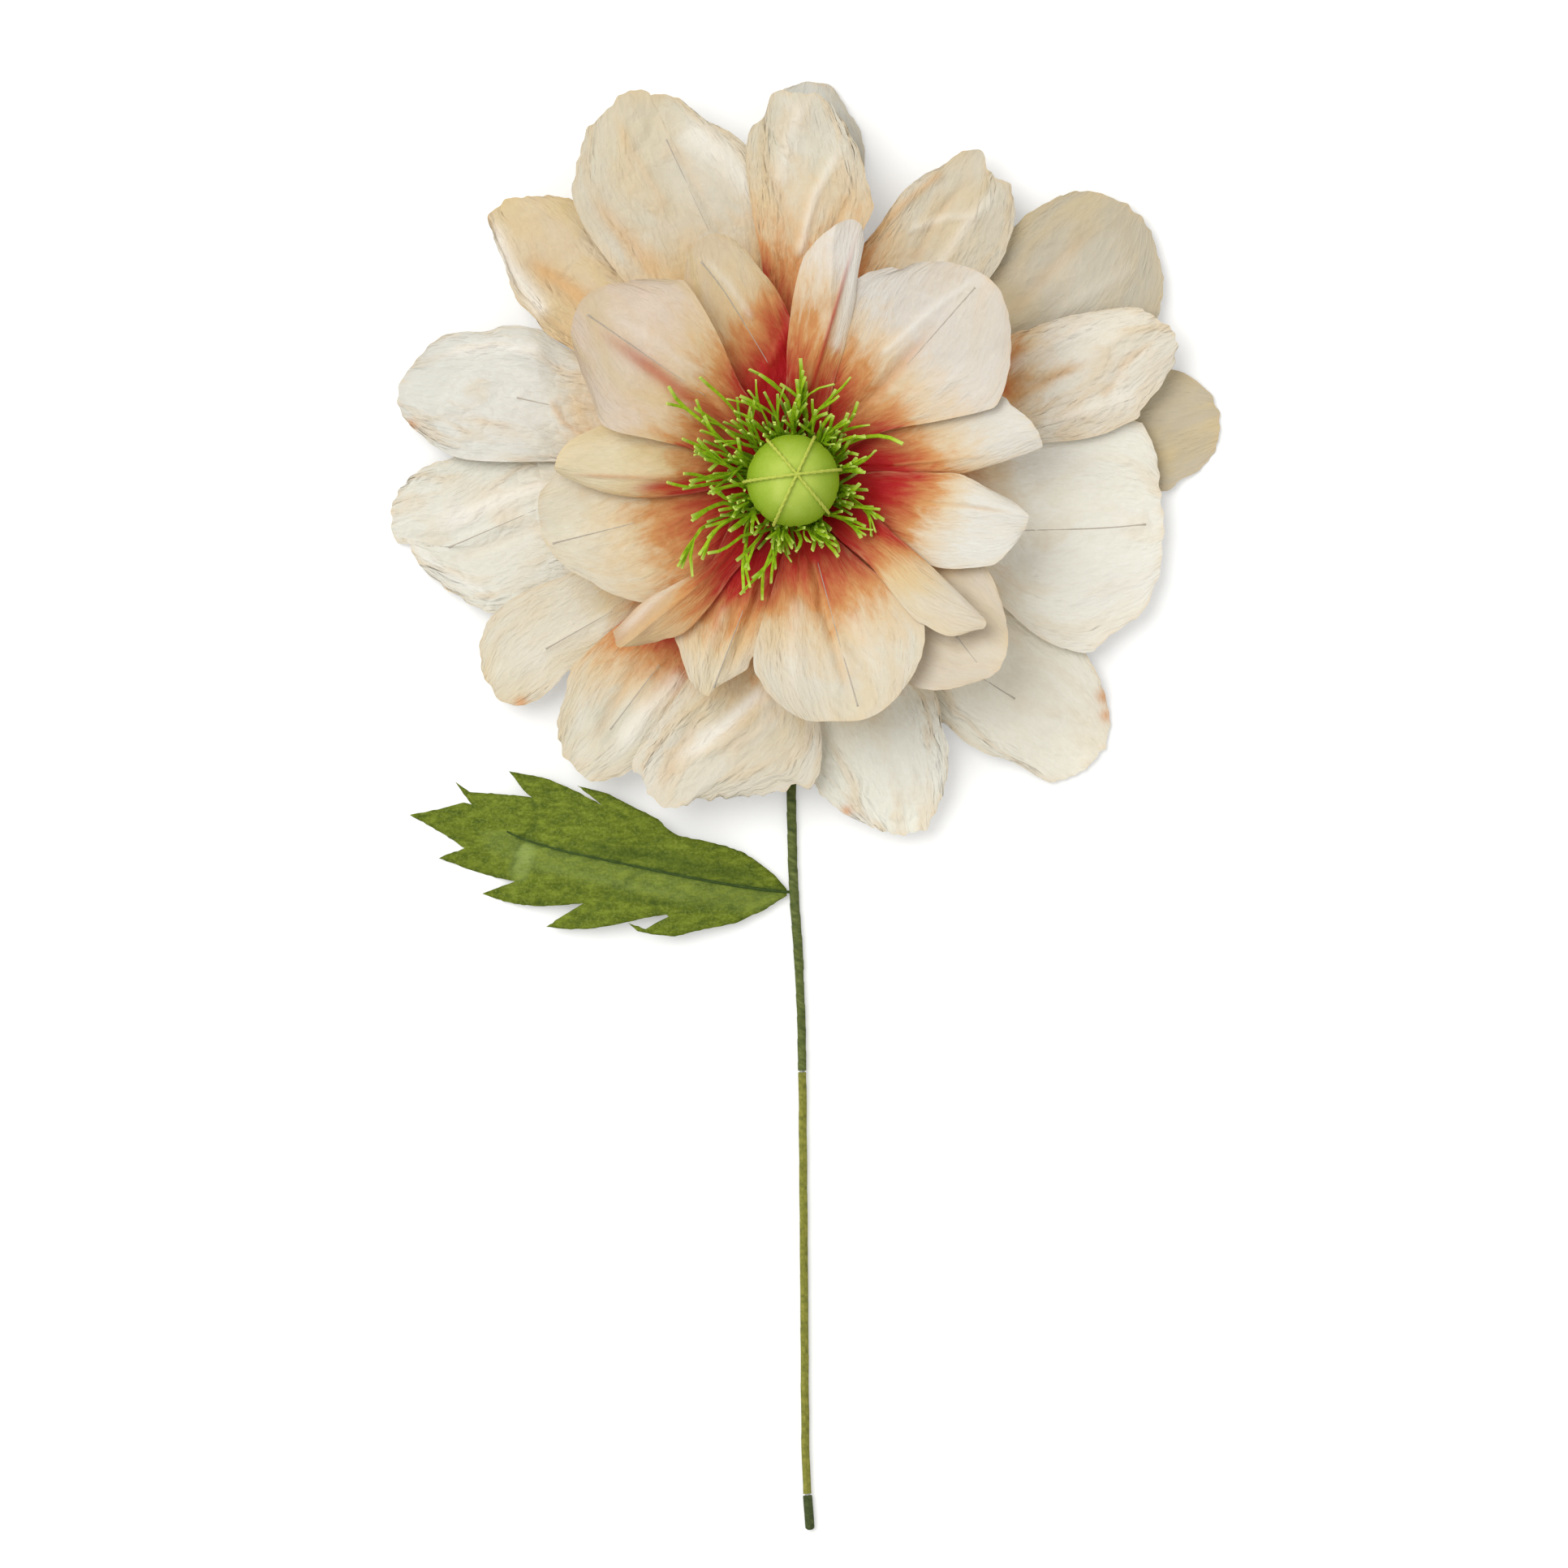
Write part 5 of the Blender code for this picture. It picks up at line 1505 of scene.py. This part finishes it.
def leaf_marks(plan, beside, share):
    """How dark the leaf is along its wire, plus painted shade in its valleys and in a band beside the wire,
    and how pale it is on its flap, plus painted highlight on its near side and along one strip.
    """
    dark = 0.85 * np.exp(-(beside / 0.9) ** 2) * (share < 0.97)
    # Painted shade: a band beside the wire and a fine line in each valley crease.
    dark = np.maximum(dark, 0.4 * near_line(plan, course("-96,-176 -60,-182 -22,-190"), 4.0))
    for line, lift, _ in LEAF_RIDGES:
        dark = np.maximum(dark, 0.45 * near_line(plan, course(line), 0.9) * (lift < 0))
    wire = np.array(LEAF_WIRE[::-1])
    near_side = plan[..., 1] <= np.interp(plan[..., 0], wire[:, 0], wire[:, 1])
    flap, _ = line_distance(plan, course("-129,-178 -132,-187"))
    # The flap is paler paper; the near side by the wire and one strip get a painted highlight.
    pale = 0.6 * ease((6.5 - flap) / 4) + 0.25 * ease((16 - beside) / 8) * near_side
    return dark, np.maximum(pale, 0.4 * near_line(plan, course("-122,-184 -88,-192 -52,-200"), 2.5))


def make_leaf():
    """The creased leaf in the place of its solid."""
    plan = leaf_flat[None]
    beside, share = line_distance(plan, LEAF_WIRE)
    height = leaf_height(plan, beside)
    dark, pale = leaf_marks(plan, beside, share)
    verts = np.dstack([plan, height])[0] * MM + AXIS
    piece = new_piece("leaf_paper_sheet", verts, leaf_faces, LEAF_PAPER)
    if sum(face.normal.z for face in piece.data.polygons) < 0:
        piece.data.flip_normals()
    thick = piece.modifiers.new("paper", 'SOLIDIFY')
    thick.thickness = SHEET * MM
    thick.offset = 1
    store(piece, "leaf_map", np.column_stack([leaf_flat, leaf_flat[:, 0] * 0]))
    store(piece, "dark_line_and_shade", dark)
    store(piece, "pale", pale)
    settle(piece, "leaf_paper", "leaf")
    return plan, height


leaf_surface = make_leaf()
print("leaf made, height to", round(leaf_surface[1].max(), 1), "mm")

# %% Leaf wire
RIB_SIDES = 12
RIB_START_X = -0.2
RIB_ABOVE = 0.2
RIB_R = (0.72, 0.42)

rib_line = wire_on(*leaf_surface, [(RIB_START_X, LEAF_WIRE[0][1])] + LEAF_WIRE[1:])
rib_line[:, 2] += RIB_ABOVE * MM
rib_line[:3, 2] = np.linspace(STEM_Z * MM, rib_line[3, 2], 4)[:3]
rib_r = np.linspace(*RIB_R, len(rib_line)) * MM
leaf_rib = new_piece("leaf_rib", *sweep(rib_line, lambda k: circle(rib_r[k], RIB_SIDES)),
                     stem_finish("leaf wire", (84, 108, 44), (60, 82, 28), (42, 60, 18)))
keep_winding(leaf_rib, np.arange(len(rib_line)) * WIRE_STEP, np.zeros(len(rib_line)), RIB_SIDES)
settle(leaf_rib, "wire", "leaf_wire")
print("leaf wire points:", len(rib_line))

# %% [markdown]
# ## Table, light and camera
#
# A photographer lays such a flower on white card and lights it softly from one side, so that every crease
# shows without a hard shadow. The card is a plain floor that the camera sees as white, though it keeps the
# flower's shadow. A long lens looks straight down from far away, so near and far petals keep their sizes.

# %% Floor and world
CARD_GLOW = 0.3
FLOOR_HALF = 4.0
FILL = 0.65


def white_card():
    """A pale floor whose own light is seen by the camera only, so that it doesn't light the flower."""
    card = Finish("white card", roughness=0.9, specular=0.0)
    card.put(dye(236, 236, 234), card.surface.inputs["Base Color"])
    glow = card.node("Emission", {"Strength": card.math('MULTIPLY', card.seen_rays(), CARD_GLOW)})
    lit = card.node("AddShader", {0: card.surface.outputs[0], 1: glow})
    card.put(lit, card.tree.nodes["Material Output"].inputs["Surface"])
    return card.material


corners = [(x * FLOOR_HALF, y * FLOOR_HALF, 0) for x, y in ((-1, -1), (1, -1), (1, 1), (-1, 1))]
floor = new_piece("floor", corners, [(0, 1, 2, 3)], white_card(), smooth=False)

world = bpy.data.worlds.new("studio")
bpy.context.scene.world = world
world.use_nodes = True
sky = Recipe(world.node_tree)
background = sky.tree.nodes["Background"]
background.inputs["Color"].default_value = (1, 1, 1, 1)
sky.put(sky.fit(sky.seen_rays(), 0, 1, FILL, 1.0), background.inputs["Strength"])
print("floor and world made")

# %% Lamp and camera
KEY = 1.5
KEY_SOFT = math.radians(42)
KEY_AZIMUTH = math.radians(145)
KEY_HEIGHT = math.radians(58)
lamp = bpy.data.lights.new("window", 'SUN')
lamp.energy = KEY
lamp.angle = KEY_SOFT
window = bpy.data.objects.new("window", lamp)
toward = Vector((math.cos(KEY_AZIMUTH) * math.cos(KEY_HEIGHT), math.sin(KEY_AZIMUTH) * math.cos(KEY_HEIGHT),
                 math.sin(KEY_HEIGHT)))
window.rotation_mode = 'QUATERNION'
window.rotation_quaternion = toward.to_track_quat('Z', 'Y')
bpy.context.scene.collection.objects.link(window)

PHOTO_PIXELS = 1932
PIXEL = 0.39
HEAD_PIXEL = (977, 594)
LENS = 300
SENSOR = 36
FOCUS_Z = 30
view_x = AXIS[0] + (PHOTO_PIXELS / 2 - HEAD_PIXEL[0]) * PIXEL * MM
view_y = AXIS[1] - (PHOTO_PIXELS / 2 - HEAD_PIXEL[1]) * PIXEL * MM
camera_data = bpy.data.cameras.new("camera")
camera_data.lens = LENS
camera_data.sensor_width = SENSOR
camera_data.clip_end = 100
camera = bpy.data.objects.new("camera", camera_data)
camera.location = (view_x, view_y, (LENS / SENSOR * PHOTO_PIXELS * PIXEL + FOCUS_Z) * MM)
bpy.context.scene.collection.objects.link(camera)
bpy.context.scene.camera = camera
bpy.context.scene.view_settings.view_transform = 'Standard'
print("camera height:", round(camera.location.z, 2), "m")
